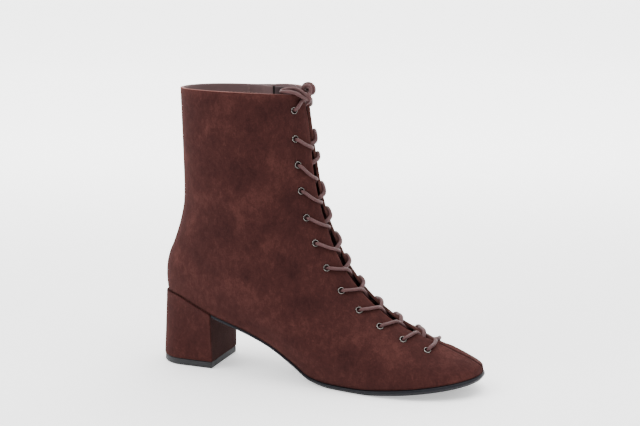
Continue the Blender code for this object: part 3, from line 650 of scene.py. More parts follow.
@dataclass(frozen=True)
class BraidedCord(Finish):
    """Braided cotton, waxed or plain: crossing yarns in diamonds, soft and only slightly glossy."""

    base: str = "#583a3a"
    deep: str = "#3a2424"
    roughness: float = 0.58
    yarn_mm: float = 1.5     # along the cord from yarn to yarn; drawn coarse so that it shows
    yarns: int = 5           # around the cord, in each direction
    wax_mm: float = 6.0

    def dress(self, tree: bpy.types.NodeTree, shader: bpy.types.Node) -> None:
        """The product of two sines, one for each way that the yarns wind, on the cord's own UV map.

        Args:
            tree: the material's node tree.
            shader: its Principled BSDF.
        """
        place = add_node(tree, "ShaderNodeTexCoord")
        map_uv = add_node(tree, "ShaderNodeSeparateXYZ", {}, {"Vector": (place, "UV")})
        run = add_node(tree, "ShaderNodeMath",
                       {"operation": "MULTIPLY", "Value_001": 2 * math.pi / self.yarn_mm},
                       {"Value": (map_uv, "X")})
        lines = []
        for way in (1, -1):
            wind = add_node(tree, "ShaderNodeMath",
                            {"operation": "MULTIPLY_ADD", "Value_001": way * 2 * math.pi * self.yarns},
                            {"Value": (map_uv, "Y"), "Value_002": (run, "Value")})
            lines.append(add_node(tree, "ShaderNodeMath", {"operation": "SINE"}, {"Value": (wind, "Value")}))
        braid = add_node(tree, "ShaderNodeMath", {"operation": "MULTIPLY"},
                         {"Value": (lines[0], "Value"), "Value_001": (lines[1], "Value")})
        wax = add_node(tree, "ShaderNodeTexNoise",
                       {"Scale": per_metre(self.wax_mm), "Detail": 3.0}, {"Vector": (place, "Object")})
        tone = add_node(tree, "ShaderNodeMath", {"operation": "MULTIPLY_ADD", "Value_001": 0.22},
                        {"Value": (braid, "Value"), "Value_002": (wax, "Fac")})
        colour = add_node(tree, "ShaderNodeMix",
                          {"data_type": "RGBA", "A_Color": linear(self.deep), "B_Color": linear(self.base)},
                          {"Factor_Float": (tone, "Value")})
        bump = add_node(tree, "ShaderNodeBump", {"Strength": 0.5, "Distance": 0.25 * MM},
                        {"Height": (braid, "Value")})
        set_node(tree, shader, {"Roughness": self.roughness, "Specular IOR Level": 0.25},
                 {"Base Color": (colour, "Result_Color"), "Normal": (bump, "Normal")})


@dataclass(frozen=True)
class GlowingBoard(Finish):
    """Matt white studio board that glows as painted light, weakly under the boot and strongly behind it, and
    free of pattern.
    """

    base: str = "#f4f4f4"

    def dress(self, tree: bpy.types.NodeTree, shader: bpy.types.Node) -> None:
        """One pale colour, with the glow that the board's own field gives."""
        glow = add_node(tree, "ShaderNodeAttribute", {"attribute_name": "glow"})
        set_node(tree, shader,
                 {"Base Color": linear(self.base), "Roughness": 0.8, "Emission Color": linear("#ffffff")},
                 {"Emission Strength": (glow, "Fac")})


SUEDE = Suede("brown_suede")
HEEL_SUEDE = Suede("brown_suede_heel_cover")
# lighter suede on the rims: a painted highlight where light falls on the folded edges
FOLDED_EDGE_PAINTED_HIGHLIGHT = Suede("brown_suede_folded_edge", dark="#5c3a36", middle="#6f4944", light="#835a54")
LINING = SmoothLeather("mauve_lining_calf")
FACING = SmoothLeather("mauve_facing_calf", base="#443234", deep="#352527")
INSOLE_CALF = SmoothLeather("mauve_insole_calf", base="#6e5655", deep="#574342", roughness=0.6)
TONGUE_CALF = SmoothLeather("dark_tongue_calf", base="#261a17", deep="#1a100f", roughness=0.6)
OUTSOLE_RUBBER = MouldedRubber("grey_sole_rubber", base="#101014", worn="#1b1b20", gloss=0.12)
LIFT_RUBBER = MouldedRubber("grey_top_lift_rubber", base="#1c1c1e", worn="#2a2a2c", roughness=0.6)
GUNMETAL = PlatedMetal("gunmetal_plate")
ZIP_METAL = PlatedMetal("zip_nickel_plate", base="#a8a29d", haze="#86807b", roughness=0.28)
LACE_CORD = BraidedCord("waxed_cotton_cord")
TAPE_COTTON = BraidedCord("zip_tape_cotton", base="#3a2724", deep="#281917", roughness=0.8)
# near-black: painted shade in the slit between the zip's guard and facing
SLIT_PAINTED_SHADE = BraidedCord("zip_slit_painted_shade", base="#140c0b", deep="#0c0706", roughness=0.8)
STITCH_THREAD = BraidedCord("lining_thread", base="#8c6e6a", deep="#705450", roughness=0.7)
ZIP_NYLON = MouldedRubber("zip_coil_nylon", base="#2b1c1a", worn="#3b2926", roughness=0.42)


@dataclass
class Grid:
    """Points on a grid of two parameters, in millimetres; faces look along rows cross columns."""

    points: Array
    around: Columns = Columns.OPEN
    ends: Ends = Ends.OPEN
    along: Array | None = None

    def faces(self) -> list[Array]:
        """Corner numbers of the quads and, where the ends are capped, of two closing faces.

        Returns:
            One array of quads and one for each closing face.
        """
        rows, columns = self.points.shape[:2]
        number = np.arange(rows * columns).reshape(rows, columns)
        if self.around is Columns.ROUND:
            number = np.hstack([number, number[:, :1]])
        if self.ends is Ends.JOINED:
            number = np.vstack([number, number[:1]])
        quads = np.stack([number[:-1, :-1], number[1:, :-1], number[1:, 1:], number[:-1, 1:]], axis=-1)
        faces = [quads.reshape(-1, 4)]
        if self.ends is Ends.CAPPED:
            faces += [number[:1, :columns], number[-1:, columns - 1::-1]]
        return faces

    def corners(self) -> Array:
        """UV of every face corner: millimetres along the rows and share of the way round.

        Returns:
            One row for each corner, in the order of the faces.
        """
        rows, columns = self.points.shape[:2]
        along = np.zeros(rows) if self.along is None else self.along
        tall = rows if self.ends is Ends.JOINED else rows - 1
        wide = columns if self.around is Columns.ROUND else columns - 1
        i, j = np.meshgrid(np.arange(tall), np.arange(wide), indexing="ij")
        row = np.stack([i, i + 1, i + 1, i], axis=-1) % rows
        share = np.stack([j, j, j + 1, j + 1], axis=-1) / wide
        uv = [np.stack([along[row], share], axis=-1).reshape(-1, 2)]
        if self.ends is Ends.CAPPED:
            uv += [np.zeros((2 * columns, 2))]
        return np.concatenate(uv)


def weld(mesh: bpy.types.Mesh, distance: float, outwards: bool = False) -> None:
    """Join points that lie closer than a distance.

    Args:
        mesh: the mesh.
        distance: in millimetres.
        outwards: also turn the faces of the closed shape outwards.
    """
    shape = bmesh.new()
    shape.from_mesh(mesh)
    bmesh.ops.remove_doubles(shape, verts=shape.verts, dist=distance * MM)
    if outwards:
        bmesh.ops.recalc_face_normals(shape, faces=shape.faces)
    shape.to_mesh(mesh)
    shape.free()


def build_mesh(name: str, grids: list[Grid], fields: dict[str, Array] | None = None,
               sharp: float = 40.0, sealed: bool = False) -> bpy.types.Object:
    """One mesh object at the origin from one or more grids.

    Args:
        name: the piece's name.
        grids: its grids, in millimetres in the working frame.
        fields: values for each point, kept as attributes that the finish reads.
        sharp: edges that turn more than this many degrees stay crisp.
        sealed: join coincident points and turn the faces of the closed shape outwards.

    Returns:
        The new object.
    """
    counts = [grid.points.shape[0] * grid.points.shape[1] for grid in grids]
    starts = np.concatenate([[0], np.cumsum(counts)[:-1]])
    points = np.concatenate([grid.points.reshape(-1, 3) for grid in grids])
    faces = [face + start for grid, start in zip(grids, starts) for face in grid.faces()]
    corners = np.concatenate([face.ravel() for face in faces])
    sizes = np.concatenate([np.full(len(face), face.shape[1]) for face in faces])
    mesh = bpy.data.meshes.new(name)
    mesh.vertices.add(len(points))
    mesh.vertices.foreach_set("co", ((points - ORIGIN) * MM).astype(np.float32).ravel())
    mesh.loops.add(len(corners))
    mesh.loops.foreach_set("vertex_index", corners.astype(np.int32))
    mesh.polygons.add(len(sizes))
    mesh.polygons.foreach_set("loop_start", np.concatenate([[0], np.cumsum(sizes)[:-1]]).astype(np.int32))
    mesh.update(calc_edges=True)
    uv = mesh.uv_layers.new(name="run")
    uv.data.foreach_set("uv", np.concatenate([grid.corners() for grid in grids]).astype(np.float32).ravel())
    for field, values in (fields or {}).items():
        layer = mesh.attributes.new(field, "FLOAT", "POINT")
        layer.data.foreach_set("value", values.astype(np.float32).ravel())
    if sealed:
        weld(mesh, 0.005, outwards=True)
    mesh.validate()
    mesh.shade_smooth()
    mesh.set_sharp_from_angle(angle=math.radians(sharp))
    piece = bpy.data.objects.new(name, mesh)
    bpy.context.scene.collection.objects.link(piece)
    return piece


def settle(piece: bpy.types.Object, finishes: list[Finish], nodes: list[str] | None = None,
           body: str = BOOT) -> bpy.types.Object:
    """Dress a piece, let it ride on its body and stand for its solids, and report it.

    Args:
        piece: the piece.
        finishes: its materials in slot order.
        nodes: the solids that it stands for.
        body: the body that carries it.

    Returns:
        The piece.
    """
    for finish in finishes:
        piece.data.materials.append(finish.material())
    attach(piece, body)
    if nodes:
        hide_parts(*nodes)
    solids = ", ".join(nodes or ["no solid"])
    LOG.info("%s: %d points, stands for %s", piece.name, len(piece.data.vertices), solids)
    return piece


def thicken(piece: bpy.types.Object, wall: float, inner: int = 0, rim: int = 0,
            round_edge: float = 0.0) -> None:
    """Give a sheet its wall, inwards from its face, and soften the cut edges.

    Args:
        piece: the piece.
        wall: thickness in millimetres.
        inner: material slots to add for the inner face.
        rim: material slots to add for the cut edge.
        round_edge: width in millimetres of the edges' rounding, none if 0.
    """
    solid = piece.modifiers.new("wall", "SOLIDIFY")
    solid.thickness = wall * MM
    solid.offset = -1
    solid.use_even_offset = False
    solid.material_offset = inner
    solid.material_offset_rim = rim
    if round_edge:
        soften(piece, round_edge)


def soften(piece: bpy.types.Object, width: float, angle: float = 50.0, segments: int = 2) -> None:
    """Round a piece's sharp edges with a bevel.

    Args:
        piece: the piece.
        width: of the bevel, in millimetres.
        angle: edges that turn more than this many degrees are rounded.
        segments: steps of the rounding.
    """
    bevel = piece.modifiers.new("rounding", "BEVEL")
    bevel.width = width * MM
    bevel.segments = segments
    bevel.limit_method = "ANGLE"
    bevel.angle_limit = math.radians(angle)
    bevel.harden_normals = False


def smooth_path(points: Array, step: float, rounds: int = 0) -> Array:
    """Evenly spaced points on the centripetal Catmull-Rom curve through a route's own points.

    Each round then moves every inner point halfway to the middle of its neighbours, which
    eases the bends as a limp cord does.

    Args:
        points: the route.
        step: spacing in millimetres.
        rounds: how often the bends are eased.

    Returns:
        The points, the route's two ends among them.
    """
    route = np.asarray(points, dtype=float)
    ends = np.vstack([2 * route[0] - route[1], route, 2 * route[-1] - route[-2]])
    knots = np.sqrt(np.linalg.norm(np.diff(ends, axis=0), axis=1))[:, None]
    slope = np.diff(ends, axis=0) / knots
    tangent = slope[:-1] + slope[1:] - (ends[2:] - ends[:-2]) / (knots[:-1] + knots[1:])
    leaving, arriving = knots[1:-1] * tangent[:-1], knots[1:-1] * tangent[1:]
    a, b, c, d = (part[:, None, :] for part in (route[:-1], leaving, arriving, route[1:]))
    u = np.linspace(0.0, 1.0, SPAN_STEPS, endpoint=False)[None, :, None]
    fine = a + (d - a) * u ** 2 * (3 - 2 * u) + b * u * (1 - u) ** 2 - c * u ** 2 * (1 - u)
    fine = np.vstack([fine.reshape(-1, 3), route[-1:]])
    run = run_along(fine)
    even = np.linspace(0.0, run[-1], max(3, round(run[-1] / step) + 1))
    path = read_at(fine, run, even)
    for _ in range(rounds):
        path[1:-1] = path[1:-1] / 2 + (path[:-2] + path[2:]) / 4
    return path


def tube(path: Array, radius: float | Array, guide: Array, sides: int = 14) -> Grid:
    """Round profile carried along a path.

    Point = centre + radius (cos a · n - sin a · b), where n is the guide made square to the
    path and b completes the frame.

    Args:
        path: the centres.
        radius: half the thickness, for all the path or for each of its points.
        guide: a direction that the path never runs along.
        sides: points around.

    Returns:
        A grid closed around and capped.
    """
    forward = unit(np.gradient(path, axis=0))
    guide = np.broadcast_to(np.asarray(guide, dtype=float), path.shape)
    side = unit(guide - (guide * forward).sum(-1, keepdims=True) * forward)
    other = np.cross(forward, side)
    angle = circle(sides)[None, :, None]
    ring = np.cos(angle) * side[:, None, :] - np.sin(angle) * other[:, None, :]
    reach = np.broadcast_to(np.asarray(radius, dtype=float), (len(path),))[:, None, None]
    return Grid(path[:, None, :] + reach * ring, Columns.ROUND, Ends.CAPPED, run_along(path))


def seat_axes(normal: Array) -> tuple[Array, Array]:
    """The level direction and the steepest direction on a wall with a given outward normal."""
    level = unit(np.cross(UP, normal))
    return level, np.cross(normal, level)


def rounded_outline(width: float, height: float, power: float = 5.0, count: int = 32) -> Array:
    """Closed superellipse outline: half size times a signed power 2/p of cosine and sine.

    Args:
        width: whole size along local x.
        height: whole size along local y.
        power: p, where 2 gives an ellipse and more a squarer shape.
        count: number of points.

    Returns:
        Points in local x and y, clockwise.
    """
    angle = -circle(count)
    wave = np.stack([np.cos(angle), np.sin(angle)], axis=-1)
    return np.sign(wave) * np.abs(wave) ** (2 / power) * np.array((width, height)) / 2


def slab(outline: Array, low: float, high: float, edge: float) -> Array:
    """Plate between two levels: its outline carried upwards and drawn in by the edge at both faces.

    Args:
        outline: closed outline in local x and y.
        low: lower level along local z.
        high: upper level.
        edge: rounding of both rims.

    Returns:
        Local points, level by level.
    """
    centre = outline.mean(axis=0)
    reach = np.abs(outline - centre).max()
    levels = np.array((low, low + 0.3 * edge, low + edge, high - edge, high - 0.3 * edge, high))
    share = 1 - np.array((edge, 0.3 * edge, 0.0, 0.0, 0.3 * edge, edge)) / reach
    flat = centre + share[:, None, None] * (outline - centre)[None]
    return np.concatenate([flat, np.broadcast_to(levels[:, None, None], (*flat.shape[:2], 1))], axis=-1)


@dataclass(frozen=True)
class Seat:
    """A place on a wall with its own axes: x level, y up the wall, z outwards."""

    origin: Array
    normal: Array

    def world(self, local: Array) -> Array:
        """Local points in the working frame."""
        level, steep = seat_axes(self.normal)
        return self.origin + local[..., :1] * level + local[..., 1:2] * steep + local[..., 2:] * self.normal

    def plate(self, local: Array) -> Grid:
        """Closed grid from the local points of a plate."""
        return Grid(self.world(local), Columns.ROUND, Ends.CAPPED)


@dataclass(frozen=True)
class Studio:
    """Pale seamless sweep, soft lights and a camera at the photograph's angle, in metres."""

    azimuth: float = 20.8
    elevation: float = 12.2
    distance: float = 0.971
    lens: float = 73.3
    target: tuple[float, float, float] = (0.00101, 0.00047, 0.1244)
    floor: float = -0.0002
    sweep_back: float = 3.0
    sweep_front: float = -12.0
    sweep_half: float = 12.0
    sweep_radius: float = 0.9
    sweep_height: float = 4.0
    glow_near: float = 0.55      # of the board under the boot
    glow_far: float = 2.30       # of the board behind it
    glow_from: float = 0.15
    glow_to: float = 1.10

    def axes(self) -> tuple[Array, Array]:
        """Directions to the camera's right and away from it, on the floor.

        Returns:
            Two unit vectors.
        """
        angle = math.radians(self.azimuth)
        right = np.array((math.cos(angle), math.sin(angle), 0.0))
        return right, np.cross(UP, right)

    def camera(self) -> None:
        """Camera on a line through the target at the photograph's azimuth and elevation."""
        _, away = self.axes()
        rise = math.radians(self.elevation)
        back = Vector((*(-math.cos(rise) * away[:2]), math.sin(rise)))
        data = bpy.data.cameras.new("photo_camera")
        data.lens = self.lens
        data.sensor_width = 36.0
        data.clip_start = 0.01
        data.clip_end = 50.0
        data.dof.use_dof = False
        camera = bpy.data.objects.new("photo_camera", data)
        bpy.context.scene.collection.objects.link(camera)
        camera.location = Vector(self.target) + self.distance * back
        camera.rotation_euler = back.to_track_quat("Z", "Y").to_euler()
        bpy.context.scene.camera = camera

    def sweep(self) -> None:
        """Floor that bends up into a wall: a line, a quarter circle and a line, carried sideways."""
        right, away = self.axes()
        angle = np.linspace(0.0, math.pi / 2, 17)
        bend = self.sweep_radius
        level = np.concatenate([[self.sweep_front], np.linspace(self.glow_from, self.glow_to, 9)])
        run = np.concatenate([level, self.sweep_back - bend + bend * np.sin(angle), [self.sweep_back]])
        high = np.concatenate([0.0 * level, bend * (1 - np.cos(angle)), [self.sweep_height]]) + self.floor
        side = np.linspace(-self.sweep_half, self.sweep_half, 9)
        points = side[None, :, None] * right + run[:, None, None] * away
        points = points + high[:, None, None] * UP
        share = ease((run - self.glow_from) / (self.glow_to - self.glow_from))
        glow = self.glow_near + (self.glow_far - self.glow_near) * share
        glow = np.broadcast_to(glow[:, None], points.shape[:2])
        sweep = build_mesh("studio_sweep", [Grid(points[:, ::-1] / MM + ORIGIN)], {"glow": glow})
        sweep.data.materials.append(GlowingBoard("white_glowing_board").material())

    def lamp(self, name: str, place: tuple[float, float, float], size: float, power: float) -> None:
        """Square soft light that faces the boot.

        Args:
            name: the light's name.
            place: metres to the right of the frame's origin, beyond it and above it.
            size: length of its side in metres.
            power: in watts.
        """
        right, away = self.axes()
        at = Vector(place[0] * right + place[1] * away + place[2] * UP)
        data = bpy.data.lights.new(name, "AREA")
        data.shape = "SQUARE"
        data.size = size
        data.energy = power
        lamp = bpy.data.objects.new(name, data)
        bpy.context.scene.collection.objects.link(lamp)
        lamp.location = at
        lamp.rotation_euler = (at - Vector(self.target)).to_track_quat("Z", "Y").to_euler()

    def build(self) -> None:
        """Set up sweep, lights, sky and camera."""
        self.camera()
        self.sweep()
        self.lamp("key_left", (-1.5, -0.5, 1.5), 1.3, 42.0)
        self.lamp("top_soft", (0.3, 0.1, 2.1), 2.0, 78.0)
        self.lamp("fill_right", (1.5, -0.7, 1.3), 1.2, 12.0)
        world = bpy.data.worlds.new("studio_air")
        bpy.context.scene.world = world
        world.use_nodes = True
        set_node(world.node_tree, world.node_tree.nodes["Background"],
                 {"Color": linear("#ffffff"), "Strength": 0.70})


@dataclass(frozen=True)
class EyeletRows:
    """Twelve pairs of metal eyelets along the throat, in millimetres."""

    runs: tuple[float, ...] = (10.4, 31.0, 50.1, 69.0, 88.0, 107.0, 126.4, 144.6, 162.3, 180.6, 199.0, 217.8)
    inset_ends: float = 15.0
    inset_middle: float = 19.2
    inset_power: float = 0.6
    profile: tuple[tuple[float, float], ...] = (
        (2.05, -2.20), (2.05, 0.10), (2.10, 0.42), (2.21, 0.60), (2.36, 0.60),
        (2.52, 0.42), (2.60, 0.14), (2.56, -0.20), (2.22, -0.20), (2.22, -2.20),
    )
    steps: int = 28

    @property
    def rows(self) -> int:
        """Number of pairs."""
        return len(self.runs)

    def down(self, row: int) -> Array:
        """Direction down the front ridge at a row."""
        low = LAST.point(LAST.ridge_rise(self.runs[row] + 1), 0.0)
        return unit(low - LAST.point(LAST.ridge_rise(self.runs[row] - 1), 0.0))

    def place(self, row: int, side: Side) -> Array:
        """Rise and turn of an eyelet: square to the ridge at its row, one inset away.

        The best point of a fine net is taken, as in the part's source.

        Args:
            row: the pair, 0 at the collar.
            side: which side.

        Returns:
            Rise and turn.
        """
        at = LAST.ridge_rise(self.runs[row])
        bulge = math.sin(math.pi * row / (self.rows - 1)) ** self.inset_power
        inset = self.inset_ends + (self.inset_middle - self.inset_ends) * bulge
        rise, turn = np.meshgrid(np.clip(at + np.linspace(-0.08, 0.08, 161), 0, 1),
                                 side.value * np.linspace(0.06, 0.30, 161), indexing="ij")
        reach = LAST.point(rise, turn) - LAST.point(at, 0.0)
        miss = (reach @ self.down(row)) ** 2 + (np.linalg.norm(reach, axis=-1) - inset) ** 2
        best = np.argmin(miss)
        return np.array((rise.ravel()[best], turn.ravel()[best]))

    def places(self) -> Array:
        """Rise and turn of all the eyelets, outer side first."""
        return np.array([self.place(row, side) for side in Side for row in range(self.rows)])

    def build(self) -> None:
        """Turned rings: the profile carried round the eyelet's own axis."""
        angle = -circle(self.steps)[:, None]
        radius, height = np.array(self.profile).T
        local = np.stack([radius * np.cos(angle), radius * np.sin(angle),
                          np.broadcast_to(height, (self.steps, len(height)))], axis=-1)
        for side in Side:
            for row in range(self.rows):
                rise, turn = self.place(row, side)
                seat = Seat(LAST.point(rise, turn), LAST.normal(rise, turn))
                grid = Grid(seat.world(local), Columns.ROUND, Ends.JOINED)
                name = f"{side.name.lower()}_{row + 1:02d}"
                ring = build_mesh(f"ring_{name}", [grid], sharp=60)
                settle(ring, [GUNMETAL], [f"eyelet_{name}"])


@dataclass(frozen=True)
class Lay:
    """How one side's strands lie, pair by pair from the second to the last but one, in millimetres."""

    leave: tuple[float, ...]     # below its pair where a strand leaves its own flap
    dive: tuple[float, ...]      # below its pair where it goes under the other flap
    arch: tuple[float, ...]      # how far it rises above its straight way at first
    bulge: float                 # lace's middle above its own flap
    drop: tuple[float, float]    # share of the first drop at the two places over its own flap
    cross: tuple[float, float]   # lace's middle above the outer face at the two places over the throat
    swell: float                 # thickness against the lace's own: pulled thin or lying slack


LAYS = {
    Side.LATERAL: Lay(
        leave=(8.9, 12.8, 12.0, 11.8, 11.6, 8.8, 8.8, 10.0, 8.8, 6.2),
        dive=(11.4, 15.5, 13.4, 14.1, 14.7, 13.4, 13.4, 14.6, 14.0, 10.2),
        arch=(0.0,) * 10,
        bulge=1.55,
        drop=(0.50, 0.86),
        cross=(-1.5, -3.5),
        swell=0.94,
    ),
    Side.MEDIAL: Lay(
        leave=(5.0, -1.0, 6.8, 6.0, 7.5, 4.4, 5.4, 7.8, 8.2, 9.4),
        dive=(8.0, 2.4, 10.4, 9.6, 11.6, 7.4, 8.4, 11.0, 11.0, 11.8),
        arch=(3.8, 5.4, 2.8, 3.8, 3.2, 5.2, 5.4, 3.4, 2.8, 1.8),
        bulge=1.25,
        drop=(0.0, 0.32),
        cross=(-1.4, -3.3),
        swell=1.16,
    ),
}
Route = list[tuple[float, float, float]]


@dataclass(frozen=True)
class Lacing:
    """Round waxed lace: a bar at the bottom, ten crossings and a small bow, in millimetres."""

    eyelets: EyeletRows
    thick: float = 2.7
    step: float = 0.8
    eased: int = 5
    under: float = -3.9      # lace's middle below the outer face where it runs under a flap
    squeeze: float = 0.80    # share of its thickness that the lace keeps in a bore
    squeezed: float = 2.6    # length of a strand's start that stays squeezed, and of its end
    squeezed_end: float = 0.8
    swelling: float = 2.4    # length over which it then swells, at its start and at its end
    swelling_end: float = 2.0
    bore_route: tuple[tuple[float, float], ...] = ((0.03, -1.2), (0.05, 0.5), (0.14, 1.75))  # share, lift
    over_flap: tuple[float, float] = (0.40, 0.75)            # places of a strand: over its own flap,
    over_throat: tuple[float, float] = (0.4, 0.8)            # over the throat
    under_flap: tuple[float, ...] = (0.05, 0.4, 0.7, 0.95)   # and under the other flap, as shares
    least_bulge: float = 1.2
    end_lift: float = -1.6   # lace's middle where a strand ends in the next bore
    bar_lift: float = 1.6
    flap_lift: float = 1.5   # lace's middle above the flap on the way to the knot
    wrap_centre: tuple[float, float, float] = (122.6, -4.2, 211.6)
    wrap_high: float = 2.3
    wrap_deep: float = 2.4
    wrap_pitch: float = 2.2
    tail: Points = (
        (122.2, -2.0, 207.6), (120.4, -1.4, 206.2), (118.4, -1.0, 204.6),
    )
    lateral_top: tuple[float, float] = (0.9877, -0.0899)
    medial_top: tuple[float, float] = (0.9850, 0.0600)
    ring_loop: Points = (
        (120.3, -5.6, 209.6), (122.8, -5.0, 210.1), (123.8, -4.0, 213.4), (124.3, -3.0, 216.4),
        (123.4, -2.4, 219.1), (120.8, -2.8, 219.9), (118.1, -3.5, 218.2), (118.2, -2.7, 215.6),
        (120.3, -1.1, 214.2), (123.4, -0.4, 213.3), (125.4, -0.5, 214.1), (126.0, -0.6, 216.6),
        (124.8, -0.4, 219.5), (121.9, -0.8, 220.9), (118.8, -1.2, 220.1), (117.1, -0.8, 218.3),
        (118.0, 1.4, 216.8), (119.9, 2.8, 216.6), (121.6, 1.9, 213.9), (122.1, -1.1, 209.7),
    )
    rim_loop: Points = (
        (122.3, 1.4, 209.2), (121.9, -3.2, 209.8), (122.0, -6.6, 210.2), (121.3, -9.0, 211.0),
        (119.6, -11.0, 212.6), (117.3, -12.8, 214.3), (114.3, -14.3, 215.6), (111.0, -15.5, 216.1),
        (108.4, -16.4, 215.9), (105.9, -16.0, 215.3), (105.4, -13.6, 216.3), (107.7, -12.2, 217.2),
        (110.7, -11.0, 217.7), (113.7, -9.8, 217.7), (116.6, -9.0, 217.0), (119.2, -8.8, 215.7),
        (121.2, -7.6, 213.7), (122.0, -5.4, 211.8), (122.5, -4.2, 209.8),
    )
    ring_guide: tuple[float, float, float] = (0.35, -0.91, 0.21)
    rim_guide: tuple[float, float, float] = (0.25, 0.15, 1.0)

    def edge(self, run: float, side: Side) -> Array:
        """Rise and turn of the throat's edge at a distance below the collar, down the ridge."""
        rise = LAST.ridge_rise(run)
        return np.array((rise, side.value * float(LAST.throat_turn(rise, side))))

    def bore(self, start: Array, way: Array) -> Route:
        """First places of a strand: up its bore, on the side that it leaves by, and over the flange."""
        return [(*(start + share * way), lift)
                for share, lift in ((self.bore_route[0][0], self.under), *self.bore_route)]

    def points(self, route: Route) -> Array:
        """Points of places given as rise, turn and lift off the outer face."""
        rise, turn, lift = np.array(route).T
        return LAST.off(rise, turn, lift)

    def lace(self, path: Array, guide: Array, bores: int, swell: float = 1.0) -> Grid:
        """Lace along a path, squeezed in the bore where it starts and, for two bores, where it ends.

        Args:
            path: the lace's middle.
            guide: a direction that the path never runs along.
            bores: 1 or 2.
            swell: thickness where it is free, against the lace's own.

        Returns:
            A closed tube.
        """
        run = run_along(path)
        free = ease((run - self.squeezed) / self.swelling)
        if bores == 2:
            free = free * ease((run[-1] - run - self.squeezed_end) / self.swelling_end)
        return tube(path, self.thick / 2 * (self.squeeze + (swell - self.squeeze) * free), guide)

    def piece(self, name: str, laces: list[Grid], nodes: list[str]) -> bpy.types.Object:
        """One piece of waxed lace that stands for its solids."""
        return settle(build_mesh(name, laces, sharp=60), [LACE_CORD], nodes)

    def strand(self, row: int, side: Side) -> Array:
        """Path of one strand from its bore, over its flap and under the other into the next bore opposite.

        Args:
            row: the pair that it comes out of.
            side: the side that it comes out on.

        Returns:
            Evenly spaced points.
        """
        lay = LAYS[side]
        other = Side(-side.value)
        at = self.eyelets.runs[row]
        start = self.eyelets.place(row, side)
        end = self.eyelets.place(row + 1, other)
        leave = self.edge(at + lay.leave[row - 1], side)
        dive = self.edge(at + lay.dive[row - 1], other)
        way, over, rest = leave - start, dive - leave, end - dive
        higher = np.array((LAST.ridge_rise(at - lay.arch[row - 1]) - LAST.ridge_rise(at), 0.0))
        early, late = (start + np.array(share) * way for share in zip(lay.drop, self.over_flap))
        route = self.bore(start, way) + [
            (*(early + 0.8 * higher), max(self.least_bulge, 0.9 * lay.bulge)),
            (*(late + higher), lay.bulge),
            (*leave, max(self.least_bulge, 0.8 * lay.bulge)),
        ]
        route += [(*(leave + share * over), lift) for share, lift in zip(self.over_throat, lay.cross)]
        route += [(*(dive + share * rest), self.under) for share in self.under_flap]
        return smooth_path(self.points(route + [(*end, self.end_lift)]), self.step, self.eased)

    def crossings(self) -> None:
        """Two strands for each pair of eyelets from the second row to the last but one."""
        for row in range(1, self.eyelets.rows - 1):
            down = self.eyelets.down(row)
            strands = []
            for side in Side:
                path = self.strand(row, side)
                across = path[-1] - path[0]
                guide = down - unit(across - (across @ down) * down)
                strands.append(self.lace(path, guide, 2, LAYS[side].swell))
            self.piece(f"crossing_{row + 1:02d}", strands, [f"lace_cross_{row + 1:02d}"])

    def bar(self) -> None:
        """Straight bar over the last pair, out of one bore and into the other."""
        row = self.eyelets.rows - 1
        top = np.array((LAST.ridge_rise(self.eyelets.runs[row]), 0.0))
        halves = []
        for side in Side:
            start = self.eyelets.place(row, side)
            way = top - start
            over = [(*(start + share * way), self.bar_lift) for share in (0.45, 0.75)]
            halves.append(self.bore(start, way) + over)
        route = halves[0] + [(*top, self.bar_lift)] + halves[1][::-1]
        path = smooth_path(self.points(route), self.step, self.eased)
        self.piece("bottom_bar", [self.lace(path, self.eyelets.down(row), 2)], ["lace_bar"])

    def knot(self) -> bpy.types.Object:
        """Wrap of the bow: a flattened helix about a level axis, ending in a short tail in the throat.

        Returns:
            The dressed knot.
        """
        right, away = Studio().axes()
        turn = np.linspace(-0.5 * math.pi, 3 * math.pi, 40)[:, None]
        swing = self.wrap_high * np.cos(turn) * UP - self.wrap_deep * np.sin(turn) * away
        along = (turn / (2 * math.pi) - 0.75) * self.wrap_pitch * right
        helix = np.array(self.wrap_centre) + swing + along
        path = smooth_path(np.vstack([helix, np.array(self.tail)]), self.step, self.eased)
        return self.piece("bow_knot", [tube(path, self.thick / 2, right)], ["lace_knot"])

    def free_end(self, side: Side, top: tuple[float, float], loop: Points, guide: Array,
                 nodes: list[str]) -> None:
        """Length from a top eyelet to the knot and round its loop.

        Args:
            side: which top eyelet it leaves.
            top: rise and turn of the place where it leaves its flap.
            loop: points through the knot and round the loop.
            guide: direction that the path never runs along.
            nodes: the solids that it stands for.
        """
        start = self.eyelets.place(0, side)
        way = np.array(top) - start
        route = self.bore(start, way) + [(*(start + 0.5 * way), self.flap_lift), (*top, self.flap_lift)]
        path = smooth_path(np.vstack([self.points(route), np.array(loop)]), self.step, self.eased)
        piece = self.piece(f"bow_{side.name.lower()}", [self.lace(path, guide, 1)], nodes)

    def build(self) -> None:
        """Bow first, then crossings and bar."""
        knot = self.knot()
        self.free_end(Side.LATERAL, self.lateral_top, self.ring_loop, np.array(self.ring_guide),
                      ["lace_loop_ring", "lace_end_lateral"])
        self.free_end(Side.MEDIAL, self.medial_top, self.rim_loop, np.array(self.rim_guide),
                      ["lace_loop_rim", "lace_end_medial"])
        self.crossings()
        self.bar()


@dataclass(frozen=True)
class SoftFold:
    """A soft trough, or a ridge where depth is negative, along a straight run of x and z."""

    start: tuple[float, float]
    end: tuple[float, float]
    width: float
    depth: float

    def press(self, x: Array, z: Array) -> Array:
        """Inward travel: depth times a bell of the distance from the run, with the width as its half width.

        Args:
            x: distances along the boot.
            z: heights, as many.

        Returns:
            Millimetres at each place.
        """
        a = np.array(self.start)
        run = np.array(self.end) - a
        length = float(np.linalg.norm(run))
        run = run / length
        along = (x - a[0]) * run[0] + (z - a[1]) * run[1]
        across = (x - a[0]) * run[1] - (z - a[1]) * run[0]
        past = np.maximum(np.maximum(-along, along - length), 0.0)
        return self.depth * np.exp(-(across ** 2 + past ** 2) / self.width ** 2)


